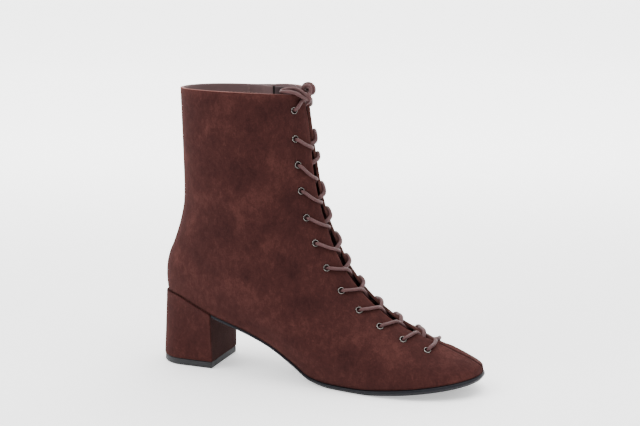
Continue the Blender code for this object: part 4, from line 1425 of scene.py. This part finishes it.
@dataclass(frozen=True)
class NapPatch:
    """A place where the nap lies lighter or darker, or where a highlight is painted: middle and half sizes in
    x and z.
    """

    x: float
    z: float
    half_x: float
    half_z: float
    tone: float

    def shade(self, x: Array, z: Array) -> Array:
        """Tone times a flat-topped bell over an ellipse."""
        reach = ((x - self.x) / self.half_x) ** 2 + ((z - self.z) / self.half_z) ** 2
        return self.tone * np.exp(-reach ** 1.5)


@dataclass(frozen=True)
class Band:
    """A soft band beside a line: its size in the middle, half width and distance from the line."""

    size: float
    half: float
    at: float = 0.0

    def of(self, away: Array) -> Array:
        """The band's size at distances from the line."""
        return self.size * bell(away - self.at, self.half)


FOLDS = (
    SoftFold((110.0, 142.0), (120.0, 112.0), 7.0, 0.55),
    SoftFold((48.0, 112.0), (76.0, 105.0), 8.0, 0.50),
    SoftFold((66.0, 142.0), (86.0, 116.0), 5.0, -0.40),
    SoftFold((60.0, 160.0), (96.0, 156.0), 9.0, 0.40),
    SoftFold((102.0, 92.0), (124.0, 84.0), 7.0, 0.35),
    SoftFold((88.0, 140.0), (100.0, 132.0), 9.0, -0.35),
    SoftFold((152.0, 50.0), (168.0, 30.0), 6.0, 0.30),
    SoftFold((176.0, 44.0), (188.0, 26.0), 6.0, -0.20),
    SoftFold((70.0, 68.0), (94.0, 66.0), 9.0, -0.30),
)
PATCHES = tuple(
    NapPatch(*patch, -1.0) for patch in (
        (78, 158, 16, 11), (117, 126, 8, 20), (60, 108, 15, 13), (95, 104, 5, 5), (114, 89, 10, 9),
        (85, 83, 6, 6), (130, 64, 13, 7), (106, 200, 10, 10),
        (102, 117, 9, 6), (60, 210, 7, 6), (167, 29, 10, 9),
    )
) + tuple(
    NapPatch(*patch, 1.0) for patch in (
        (93, 137, 11, 11), (48, 136, 10, 6), (77, 127, 4, 18), (103, 163, 4, 6), (108, 104, 9, 7),
        (81, 69, 16, 10), (97, 46, 4, 4), (195, 32, 11, 9), (25, 78, 10, 10), (126, 47, 15, 7),
        (172, 41, 10, 7), (33, 112, 4, 10), (50, 190, 4, 12), (121, 152, 6, 6), (28, 165, 4, 10),
        # the last two, on the toe's top and tip, are painted highlights where light falls from above
        (246, 16, 7, 7), (234, 30, 12, 5),
    )
)


@dataclass(frozen=True)
class Upper:
    """Suede upper with its lining: seams, soft folds, eyelet seats and the zip's channel."""

    eyelets: EyeletRows
    zip_x: float = 81.0
    zip_low: float = 84.0
    wall: float = 2.0
    vamp_rows: int = 46
    shaft_rows: int = 118
    side_columns: int = 118
    first_share: float = 0.20    # spacing of the columns at the front against their mean
    tuck: float = 1.2            # of the lower edge, under the foot
    tuck_down: float = 0.25
    inner_lift: float = 3.2      # how far the inner side's collar stands above the outer side's, in front
    lift_back: float = 58.0
    lift_over: float = 52.0
    lift_line: float = 0.97      # rise that the collar's upward direction is taken from
    lift_rise: float = 0.90
    lift_fade: float = 0.10
    shaft_height: float = 165.0  # of the wall for one step of rise, near the collar
    foot_height: float = 150.0   # and near the feather line
    closing: float = 0.004       # rise to both sides of the throat's end over which the seam opens
    centre_groove: Band = Band(0.50, 0.85)
    centre_lip: Band = Band(0.24, 1.1, 2.0)
    # painted shade in the centre-front seam's groove
    centre_painted_shade: Band = Band(0.95, 0.85)
    back_groove: Band = Band(0.25, 0.8)
    back_lip: Band = Band(0.12, 1.2, 2.2)
    # painted shade in the back seam's groove
    back_painted_shade: Band = Band(0.45, 0.7)
    # painted shade along the feather line, where the upper meets the sole
    feather_painted_shade: Band = Band(0.55, 1.3)
    # painted highlight: a lighter band along the collar, where light falls from above
    collar_painted_highlight: Band = Band(1.2, 1.6)
    # painted highlight along the outer quarter's edge at the throat
    edge_painted_highlight: Band = Band(1.2, 1.3)    # of the outer quarter at the throat
    # painted shade along the inner quarter's edge at the throat
    edge_painted_shade: Band = Band(0.60, 0.6)    # of the inner quarter
    toe_ridge: Band = Band(1.4, 4.5, 6.5)
    toe_from: float = 222.0
    toe_rising: float = 10.0
    toe_to: float = 252.0
    toe_falling: float = 18.0
    eyelet_dish: Band = Band(0.22, 4.2)
    bore_deep: float = 2.6
    bore_reach: float = 2.5
    bore_slope: float = 1.4
    # painted shade inside the eyelets' bores, out to this distance from their middles
    bore_dark: float = 2.35
    bore_fade: float = 0.3
    slot_deep: float = 1.7       # of the zip's channel
    slot_half: float = 3.3
    slot_slope: float = 0.9
    slot_end: float = 2.0

    def rises(self) -> Array:
        """Rises of the rows: even up to the throat's end, then even to the collar."""
        shaft = np.linspace(LAST.throat_end, 1.0, self.shaft_rows + 1)[1:]
        return np.concatenate([np.linspace(0.0, LAST.throat_end, self.vamp_rows), shaft])

    def side_turns(self, rises: Array, side: Side) -> tuple[Array, Array, Array]:
        """Turns of the columns on one side, spaced along the surface and closest at the front.

        Args:
            rises: rises of the rows.
            side: which side.

        Returns:
            Turns, distances from the front edge and distances left to the back.
        """
        edge = LAST.throat_turn(rises, side)[:, None]
        fine = edge + (1 - edge) * np.linspace(0.0, 1.0, 700)[None, :] ** 1.15
        net = LAST.point(rises[:, None], side.value * np.maximum(fine, 1e-9))
        steps = np.linalg.norm(np.diff(net, axis=1), axis=-1)
        run = np.concatenate([np.zeros((len(rises), 1)), np.cumsum(steps, axis=1)], axis=1)
        share = np.linspace(0.0, 1.0, self.side_columns + 1)
        share = self.first_share * share + (1 - self.first_share) * share ** 2
        want = run[:, -1:] * share[None, :]
        turns = np.stack([np.interp(w, r, f) for w, r, f in zip(want, run, fine)])
        return side.value * np.maximum(turns, 1e-9), want, run[:, -1:] - want

    def sheet(self) -> tuple[Grid, dict[str, Array]]:
        """The outer face as a grid of rise and turn, pressed inwards by all its relief.

        Returns:
            The grid, and the fields for nap tone with painted highlights and for painted shade.
        """
        rises = self.rises()
        sides = (self.side_turns(rises, side) for side in Side)
        turn, run, left = (np.concatenate([outer, inner[:, -2::-1]], axis=1) for outer, inner in zip(*sides))
        rise = np.broadcast_to(rises[:, None], turn.shape)
        points = LAST.point(rise, turn)
        upwards = unit(points[-1:] - LAST.point(self.lift_line, turn[-1:]))
        ahead = ease((points[-1:, :, 0] - self.lift_back) / self.lift_over)
        raised = self.inner_lift * ahead * (turn[-1:] > 0) * ease((rise - self.lift_rise) / self.lift_fade)
        points = points + raised[..., None] * upwards
        normal = LAST.normal(rise, turn)
        press, nap, seam = self.relief(points, rise, run, left)
        points = points - press[..., None] * normal
        inward = unit(normal[:1] * np.array((1.0, 1.0, 0.0)))
        tucked = points[:1] - self.tuck * inward - self.tuck_down * UP
        fields = {"nap": np.concatenate([nap[:1], nap]), "seam": np.concatenate([seam[:1], seam])}
        return Grid(np.concatenate([tucked, points])), fields

    def relief(self, points: Array, rise: Array, run: Array, left: Array) -> tuple[Array, Array, Array]:
        """Inward press, nap tone with painted highlights, and painted shade at each point of the outer face.

        Args:
            points: the smooth outer face.
            rise: rise of each point.
            run: distance along the surface from the front edge.
            left: distance along the surface to the back.

        Returns:
            Press in millimetres, tone with painted highlights from -1.5 to 1.5 and painted shade from 0 to 1.
        """
        x, y, z = np.moveaxis(points, -1, 0)
        press = sum(fold.press(x, z) for fold in FOLDS)
        closed = ease((LAST.throat_end + self.closing - rise) / (2 * self.closing))
        toe = ease((x - self.toe_from) / self.toe_rising) * ease((self.toe_to - x) / self.toe_falling)
        press = press - closed * toe * (y > 0) * self.toe_ridge.of(run)
        press = press + closed * (self.centre_groove.of(run) - self.centre_lip.of(run))
        press = press + self.back_groove.of(left) - self.back_lip.of(left)
        bores = np.zeros_like(rise)
        for at in self.eyelets.places():
            away = np.linalg.norm(points - LAST.point(*at), axis=-1)
            press = press + self.eyelet_dish.of(away)
            press = press + self.bore_deep * ease((self.bore_reach - away) / self.bore_slope)
            # painted shade inside the eyelets' bores
            bores = np.maximum(bores, ease((self.bore_dark - away) / self.bore_fade))
        slot = ease((self.slot_half - np.abs(x - self.zip_x)) / self.slot_slope)
        slot = slot * ease((z - self.zip_low) / self.slot_end) * (y > 5.0)
        press = press + self.slot_deep * slot
        # the patches' outlines wander by two sines each way
        wave_x = x + 2.4 * np.sin(z / 5.3 + 0.7) + 1.3 * np.sin(z / 2.3 + x / 3.7)
        wave_z = z + 2.2 * np.sin(x / 6.1) + 1.2 * np.sin(x / 2.6 - z / 4.1)
        nap = sum(patch.shade(wave_x, wave_z) for patch in PATCHES)
        # painted highlights along the collar and the outer quarter's throat edge
        nap = nap + self.collar_painted_highlight.of((1 - rise) * self.shaft_height)
        nap = nap + (1 - closed) * (y < 0) * self.edge_painted_highlight.of(run)
        # painted shade in the seams, along the feather line, on the inner quarter's throat edge and inside
        # the bores
        seam = np.maximum(closed * self.centre_painted_shade.of(run), self.back_painted_shade.of(left))
        seam = np.maximum(seam, self.feather_painted_shade.of(rise * self.foot_height))
        seam = np.maximum(seam, (1 - closed) * (y > 0) * self.edge_painted_shade.of(run))
        return press, np.clip(nap, -1.5, 1.5), np.clip(np.maximum(seam, bores), 0.0, 1.0)

    def build(self) -> None:
        """Sheet, welded along the closed vamp, with lining inside and a folded edge, lightened as a painted
        highlight, on its rim.
        """
        grid, fields = self.sheet()
        shell = build_mesh("suede_upper", [grid], fields, sharp=60)
        weld(shell.data, 0.01)
        settle(shell, [SUEDE, LINING, FOLDED_EDGE_PAINTED_HIGHLIGHT], ["upper"])
        thicken(shell, self.wall, inner=1, rim=2, round_edge=0.35)


@dataclass(frozen=True)
class Bottom:
    """Outsole, covered heel, top lift and insole, in millimetres."""

    gap: float = 0.3
    heel_back: float = 0.8
    breast: float = 50.0
    heel_width: float = 46.0
    heel_round: float = 22.0
    heel_proud: float = 1.3
    breast_painted_shade: float = 0.70   # painted shade: the breast, which faces the toe under the arch, is darker than the sides
    breast_shares: tuple[float, ...] = (0.03, 0.15, 0.32, 0.5, 0.68, 0.85, 0.97)
    lift: float = 5.0
    lift_inset: float = 0.4
    lift_rings: tuple[tuple[float, float], ...] = (      # height and further inset
        (0.0, 0.25), (0.3, 0.0), (2.4, 0.0), (4.6, 0.0), (5.0, 0.3),
    )
    insole_rings: tuple[tuple[float, float], ...] = (    # inset and height over the feather line
        (0.0, 0.15), (0.0, 1.5), (0.3, 1.95), (1.0, 2.15),
    )
    wall: float = 2.0
    edge: tuple[tuple[float, float], ...] = (
        (-0.30, 0.00), (0.35, 0.05), (0.75, 0.15), (0.98, 0.30), (1.00, 0.44), (0.72, 0.53),
        (0.42, 0.62), (0.10, 0.74), (-0.35, 0.88), (-0.80, 1.00),
    )

    def stations(self, count: int) -> Array:
        """Turns from toe to heel that mix even turns with eased steps along the boot.

        Args:
            count: number of turns.

        Returns:
            Turns from 0 at the toe to 1 at the back.
        """
        share = np.linspace(0.0, 1.0, count)
        eased = 0.25 * share + 0.75 * (0.5 - 0.5 * np.cos(math.pi * share))
        front, back = (LAST.length * LEVELS.column(name)[0] for name in ("front_x", "back_x"))
        return 0.5 * share + 0.5 * LAST.foot_turn(front + (back - front) * eased)

    def ring(self, turns: Array) -> Array:
        """Feather line along the outer side, round the toe and back along the inner side."""
        return LAST.point(0.0, np.concatenate([-turns[:0:-1], turns]))

    def offset(self, ring: Array, distance: Array, outward: int) -> Array:
        """Move a ring sideways in plan.

        Args:
            ring: points in order.
            distance: one for the ring or one for each point.
            outward: +1 for a ring round the toe, -1 for one round the heel.

        Returns:
            The moved ring.
        """
        along = unit(np.gradient(ring[:, :2], axis=0))
        side = np.stack([along[:, 1], -along[:, 0], np.zeros(len(ring))], axis=-1)
        return ring + outward * np.reshape(distance, (-1, 1)) * side

    def across(self, ring: Array, count: int = 9) -> Grid:
        """Face between the two sides of a ring: straight lines from each point to its partner.

        Args:
            ring: from the end of one side round to the end of the other.
            count: points on each line.

        Returns:
            An open grid.
        """
        half = len(ring) // 2 + 1
        share = np.linspace(0.0, 1.0, count)[None, :, None]
        return Grid(ring[:half, None] * (1 - share) + ring[::-1][:half, None] * share)

    def closed(self, name: str, rings: list[Array]) -> bpy.types.Object:
        """Closed solid from rings: its edge, the faces across both ends and the flat end behind.

        Args:
            name: the piece's name.
            rings: from one face to the other.

        Returns:
            The new object.
        """
        edge = Grid(np.stack(rings))
        cut = np.stack([np.linspace(ring[0], ring[-1], 9) for ring in rings])
        return build_mesh(name, [edge, self.across(rings[0]), self.across(rings[-1]), Grid(cut)], sealed=True)

    def outsole(self) -> None:
        """Thin sole whose rounded edge is the feather line moved out and down by a profile."""
        start = float(LAST.foot_turn(self.breast + 2 * self.gap))
        turns = self.stations(110)
        line = self.ring(np.append(turns[turns < start - 0.004], start))
        proud = SOLE.at("proud", line[:, 0] / LAST.length)
        top = LAST.feather(line[:, 0]) - self.gap
        low = np.maximum(0.0, top - SOLE.at("thick", line[:, 0] / LAST.length))
        rings = []
        for out, depth in self.edge:
            ring = self.offset(line, proud * out, 1)
            ring[:, 0] = np.maximum(ring[:, 0], line[0, 0])
            ring[:, 2] = top + depth * (low - top)
            rings.append(ring)
        settle(self.closed("trimmed_outsole", rings), [OUTSOLE_RUBBER], ["outsole"])

    def heel_outline(self, inset: float) -> Array:
        """D shape of the heel's base: round back in even steps, then straight sides to the breast.

        Args:
            inset: how far the outline is drawn in.

        Returns:
            Points from the breast's outer corner round the back to its inner corner.
        """
        angle = np.linspace(0, math.pi / 2, 25)
        centre = self.heel_back + self.heel_round
        straight = np.linspace(centre, self.breast - inset, 13)[1:]
        x = np.append(centre - (self.heel_round - inset) * np.cos(angle), straight)
        y = (self.heel_width / 2 - inset) * np.append(np.sin(angle), np.ones_like(straight))
        side = np.stack([x, y, np.zeros_like(x)], axis=1)
        return np.vstack([side[:0:-1] * (1, -1, 1), side])

    def block(self, name: str, rings: list[Array], shade: float = 0.0) -> bpy.types.Object:
        """Closed block from heel rings, with its breast as straight lines between the ring's ends, which can
        carry a painted shade.

        Args:
            name: the piece's name.
            rings: from below upwards.
            shade: painted shade of the breast.

        Returns:
            The new object.
        """
        inner = np.array(self.breast_shares)[None, :, None]
        stack = np.stack(rings)
        breast = stack[:, -1:] * (1 - inner) + stack[:, :1] * inner
        dark = np.concatenate([np.zeros(stack.shape[:2]), np.full(breast.shape[:2], shade)], axis=1)
        grid = Grid(np.concatenate([stack, breast], axis=1), Columns.ROUND, Ends.CAPPED)
        return build_mesh(name, [grid], {"seam": dark})

    def heel(self) -> None:
        """Covered block: straight lines from the base's outline to the upper's seat."""
        base = self.heel_outline(0.0)
        base[:, 2] = self.lift + self.gap
        back = LAST.length * LEVELS.column("back_x")[0]
        along = back + (base[:, 0] - self.heel_back) / (self.breast - self.heel_back) * (self.breast - back)
        turn = np.where(base[:, 1] < 0, -1, 1) * LAST.foot_turn(along)
        seat = self.offset(LAST.point(0.0, turn), self.heel_proud, -1)
        seat[:, 0] = np.minimum(seat[:, 0], self.breast)
        seat[:, 2] = LAST.feather(along) - self.gap
        rings = [base * (1 - share) + seat * share for share in np.linspace(0.0, 1.0, 15)]
        heel = self.block("covered_heel", rings, self.breast_painted_shade)
        settle(heel, [HEEL_SUEDE], ["heel"])
        soften(heel, 0.7, segments=3)

    def top_lift(self) -> None:
        """Rubber lift: the heel's outline a little inset, straight down to the floor."""
        rings = []
        for height, inset in self.lift_rings:
            ring = self.heel_outline(self.lift_inset + inset)
            ring[:, 2] = height
            rings.append(ring)
        lift = self.block("rubber_top_lift", rings)
        settle(lift, [LIFT_RUBBER], ["top_lift"])
        soften(lift, 0.3)

    def insole_sock(self) -> None:
        """Insole inside the upper's lower edge, with a rounded upper rim."""
        line = self.ring(self.stations(80)[:-1])
        rings = []
        for inset, height in self.insole_rings:
            ring = self.offset(line, np.full(len(line), -(self.wall + 2 * self.gap + inset)), 1)
            ring[:, 2] = LAST.feather(ring[:, 0]) + height
            rings.append(ring)
        settle(self.closed("insole_sock", rings), [INSOLE_CALF], ["insole"])

    def build(self) -> None:
        """All four pieces."""
        self.outsole()
        self.heel()
        self.top_lift()
        self.insole_sock()


@dataclass(frozen=True)
class Tongue:
    """Leather tongue behind the throat, sewn in at the vamp, in millimetres."""

    low: float = 0.205
    high: float = 0.985
    ramp: float = 0.12
    turn: float = 0.27
    low_turn: float = 0.08
    narrowing: float = 0.94
    sewn_depth: float = 0.8
    lace_depth: float = 3.5
    wall: float = 2.0
    thick: float = 1.6
    rows: int = 90
    columns: int = 33

    def build(self) -> None:
        """The last's front, narrowed and moved inwards along the ridge's own normal."""
        rise = np.linspace(self.low, self.high, self.rows)[:, None]
        share = np.linspace(1.0, -1.0, self.columns)[None, :]
        free = np.clip((rise - self.low) / self.ramp, 0.0, 1.0)
        depth = self.wall + self.sewn_depth + (self.lace_depth - self.sewn_depth) * free
        reach = self.low_turn + (self.turn - self.low_turn) * free
        points = LAST.point(rise, share * reach) * np.array((1.0, self.narrowing, 1.0))
        points = points - depth[..., None] * LAST.normal(rise, np.zeros_like(rise))
        tongue = build_mesh("leather_tongue", [Grid(points)])
        settle(tongue, [TONGUE_CALF], ["tongue"])
        thicken(tongue, self.thick, round_edge=0.4)


@dataclass(frozen=True)
class Panel:
    """A strip behind the zip between two distances along the boot, in millimetres."""

    name: str
    finish: Finish
    back: float
    front: float
    lift: float = 0.15       # off the lining
    thick: float = 0.9
    edge: float = 0.3


GUARD = Panel("zip_guard", LINING, 58.5, 81.8)
ZIP_FACING = Panel("zip_facing", FACING, 83.6, 104.0)
# a near-black strip behind the gap between guard and facing: painted shade in the slit
SLIT = Panel("zip_slit", SLIT_PAINTED_SHADE, 81.4, 84.0, 0.05, 0.2, 0.0)


@dataclass(frozen=True)
class LiningTrim:
    """Guard, facing and slit behind the zip, and the stitches of guard and collar, in millimetres."""

    wall: float = 2.0
    below: float = 3.2       # from the collar to its row of stitches
    shaft_height: float = 165.0
    pitch: float = 3.3
    length: float = 2.3
    thick: float = 0.55
    low: float = 92.0
    high: float = 215.0
    stand: float = 1.75      # how far the panels stand off the lining where the zip's channel presses it
    channel_back: float = 71.0
    channel_front: float = 86.0
    channel_slope: float = 5.0
    guard_seam: float = 1.6  # from the guard's edge to its row of stitches

    def stitches(self, route: Array, facing: Array) -> list[Grid]:
        """Short spindles along a route: radius times the root of 1.04 less the square of the half run.

        Args:
            route: finely spaced points that the stitches follow.
            facing: the surface's normal at each of them.

        Returns:
            One small closed grid for each stitch.
        """
        run = run_along(route)
        place = np.arange(self.pitch / 2, run[-1], self.pitch)
        middle = read_at(route, run, place)
        out = unit(read_at(facing, run, place))
        forward = unit(read_at(route, run, place + 0.5) - middle + 1e-9)
        other = np.cross(forward, out)
        t = np.array((-1.0, -0.8, 0.0, 0.8, 1.0))[:, None, None]
        angle = circle(6)[None, :, None]
        fat = self.thick / 2 * np.sqrt(1.04 - t * t)
        return [Grid(m + t * self.length / 2 * f + fat * (np.cos(angle) * o - np.sin(angle) * p),
                     Columns.ROUND, Ends.CAPPED)
                for m, f, o, p in zip(middle, forward, out, other)]

    def build(self) -> None:
        """Row under the collar, the panels behind the zip and the guard's stitched edge."""
        turn = np.concatenate([-np.linspace(0.04, 1.0, 160), np.linspace(1.0, 0.04, 160)])
        rise = np.full_like(turn, 1 - self.below / self.shaft_height)
        under_collar = LAST.off(rise, turn, np.full_like(turn, -self.wall - 0.05))
        row = self.stitches(under_collar, LAST.normal(rise, turn))
        for panel in (GUARD, ZIP_FACING, SLIT):
            x, z = np.meshgrid(np.linspace(panel.back, panel.front, 15), np.linspace(self.low, self.high, 60))
            along = x.ravel()
            at = LAST.wall_at(along, z.ravel(), Side.MEDIAL)
            raised = ease((along - self.channel_back) / self.channel_slope)
            raised = raised - ease((along - self.channel_front) / self.channel_slope)
            face = LAST.off(*at, -self.wall - panel.lift - self.stand * raised).reshape(*x.shape, 3)
            piece = build_mesh(panel.name, [Grid(face[:, ::-1])])
            settle(piece, [panel.finish])
            thicken(piece, panel.thick, round_edge=panel.edge)
        edge_z = np.linspace(self.low + 2, self.high - 2, 80)
        edge = LAST.wall_at(np.full_like(edge_z, GUARD.back + self.guard_seam), edge_z, Side.MEDIAL)
        route = LAST.off(*edge, np.full_like(edge_z, -self.wall - 1.1))
        row += self.stitches(route, LAST.normal(*edge))
        settle(build_mesh("lining_stitches", row), [STITCH_THREAD])


@dataclass(frozen=True)
class Zip:
    """Inside zip: tapes, coil, piping, slider and the pull tab on its pin, in millimetres."""

    x: float = 81.0
    low: float = 84.0
    high: float = 214.2
    half: float = 2.3
    recess: float = 0.5
    tape: float = 0.9
    lip: float = 0.75            # radius of the piping
    lip_away: float = 0.95       # from the tape's edge to the piping's middle
    lip_sunk: float = 0.25
    lip_end: float = 1.5         # from the chain's lower end to the piping's bend
    tooth_pitch: float = 2.0
    tooth_lean: float = 0.45
    tooth: tuple[float, float, float] = (2.9, 1.25, 1.0)
    slider_height: float = 205.0
    slider_off: float = 0.6      # off the wall
    slider: tuple[float, float, float] = (7.0, 8.5, 1.8)
    slider_taper: float = 0.03   # of its width for each millimetre up
    slider_waist: float = 0.06
    lug: tuple[float, float] = (2.2, 2.3)
    lug_up: float = 1.2
    lug_gap: float = 4.8
    hinge: tuple[float, float] = (1.8, 3.4)
    pin: float = 0.45
    pin_past: float = 0.7        # past the middle of each lug
    knuckle: float = 1.25
    knuckle_bore: float = 0.8
    knuckle_length: float = 3.2
    chamfer: float = 0.15
    tab: tuple[float, float, float] = (5.2, 15.0, 1.3)
    tab_top: float = -1.9
    tab_taper: float = 0.018     # of its width for each millimetre up
    tab_middle: float = 0.86     # its width halfway against the whole
    neck: tuple[float, float] = (2.6, 3.0)
    neck_half: float = 0.52

    def wall(self, x: Array, z: Array, lift: float) -> tuple[Array, Array]:
        """Points at a distance off the inner side's wall, and the normals there."""
        at = LAST.wall_at(x, z, Side.MEDIAL)
        return LAST.off(*at, np.full(len(x), lift)), LAST.normal(*at)

    def chain(self) -> None:
        """Tape as a strip of the wall, with a coil of rounded teeth that lean to each side in turn."""
        across = self.x + np.linspace(-self.half, self.half, 7)
        x, z = np.meshgrid(across, np.linspace(self.low + 0.6, self.high, 66))
        points, _ = self.wall(x.ravel(), z.ravel(), -self.recess)
        tape = build_mesh("zip_tapes", [Grid(points.reshape(*x.shape, 3)[:, ::-1])])
        settle(tape, [TAPE_COTTON], ["zip_chain"])
        thicken(tape, self.tape, round_edge=0.2)
        height = np.arange(self.low + 2.0, self.high - 1.0, self.tooth_pitch / 2)
        lean = np.where(np.arange(len(height)) % 2, self.tooth_lean, -self.tooth_lean)
        place, normal = self.wall(self.x + lean, height, -self.recess)
        wide, tall, deep = self.tooth
        local = slab(rounded_outline(wide, tall, 3.0, 12), -0.1, deep - 0.35, 0.3)
        teeth = [Seat(p, n).plate(local) for p, n in zip(place, normal)]
        settle(build_mesh("zip_coil", teeth), [ZIP_NYLON])

    def piping(self) -> None:
        """Folded suede lip down one side of the slot, round its end and up the other side."""
        bend = self.low + self.lip_end
        down = np.linspace(self.high + 0.2, bend, 60)
        angle = np.linspace(0.0, math.pi, 13)[1:-1]
        away = self.half + self.lip_away
        side = np.full_like(down, away)
        x = self.x + np.concatenate([-side, -away * np.cos(angle), side])
        z = np.concatenate([down, bend - away * np.sin(angle), down[::-1]])
        path, normal = self.wall(x, z, -self.lip_sunk)
        lip = tube(path, self.lip, normal, sides=10)
        settle(build_mesh("zip_piping", [lip], sharp=60), [SUEDE])

    def seat(self) -> Seat:
        """Where the slider sits on the wall.

        Returns:
            Its place and axes, a little off the wall.
        """
        at = LAST.wall_at(np.array((self.x,)), np.array((self.slider_height,)), Side.MEDIAL)
        normal = LAST.normal(*at)[0]
        return Seat(LAST.point(*at)[0] + self.slider_off * normal, normal)

    def metal(self) -> None:
        """Slider with lugs and pin, and the pull tab with its knuckle, as rounded plates and rods."""
        seat = self.seat()
        wide, tall, thick = self.slider
        outline = rounded_outline(wide, tall, 3.5)
        narrowed = 1 + self.slider_taper * outline[:, 1] - self.slider_waist
        outline = outline * np.stack([narrowed, np.ones(len(outline))], axis=-1)
        body = [seat.plate(slab(outline, -0.4, thick, 0.5))]
        across, up = self.hinge
        plate = slab(rounded_outline(*self.lug, 3.0, 20), -0.5, 0.5, 0.2)
        for side in (-1, 1):
            turned = np.stack([side * self.lug_gap / 2 + plate[..., 2], across + plate[..., 0],
                               thick + self.lug_up + plate[..., 1]], axis=-1)
            body.append(seat.plate(turned))
        past = self.lug_gap / 2 + self.pin_past
        reach = np.linspace(-past, past, 5)
        axis = seat.world(np.stack([reach, np.full(5, across), np.full(5, up)], axis=-1))
        body.append(tube(axis, self.pin, seat.normal, sides=12))
        settle(build_mesh("slider_body", body), [ZIP_METAL], ["zip_slider"])

        width, length, deep = self.tab
        blade = rounded_outline(width, length, 4.0, 40)
        narrowed = self.tab_middle - self.tab_taper * blade[:, 1]
        blade = blade * np.stack([narrowed, np.ones(len(blade))], axis=-1)
        blade = blade + np.array((0.0, self.tab_top - length / 2))
        neck = rounded_outline(*self.neck, 4.0, 24) + np.array((0.0, self.tab_top))
        hinge = np.array((0.0, across, up))
        parts = [seat.plate(slab(outline, -half, half, 0.25) + hinge)
                 for outline, half in ((blade, deep / 2), (neck, self.neck_half))]
        angle = circle(20)[:, None]
        half = self.knuckle_length / 2
        near = ((self.knuckle_bore, -half), (self.knuckle - self.chamfer, -half),
                (self.knuckle, self.chamfer - half))
        radius, place = np.array(near + tuple((out, -side) for out, side in near[::-1])).T
        local = np.stack([np.broadcast_to(place, (len(angle), len(place))), across + radius * np.cos(angle),
                          up + radius * np.sin(angle)], axis=-1)
        parts.append(Grid(seat.world(local[:, ::-1]), Columns.ROUND, Ends.JOINED))
        settle(build_mesh("pull_tab", parts), [ZIP_METAL], ["zip_pull"], PULL)

    def build(self) -> None:
        """Chain, piping and metal."""
        self.chain()
        self.piping()
        self.metal()


def write_sizes() -> None:
    """Bring the view layer up to date."""
    bpy.context.view_layer.update()


def main() -> None:
    """Build the studio and every sub-assembly of the boot in order."""
    logging.basicConfig(level=logging.INFO, format="%(name)s: %(message)s")
    eyelets = EyeletRows()
    Studio().build()
    Lacing(eyelets).build()
    Upper(eyelets).build()
    Bottom().build()
    Tongue().build()
    eyelets.build()
    LiningTrim().build()
    Zip().build()
    write_sizes()


if __name__ == "__main__":
    main()
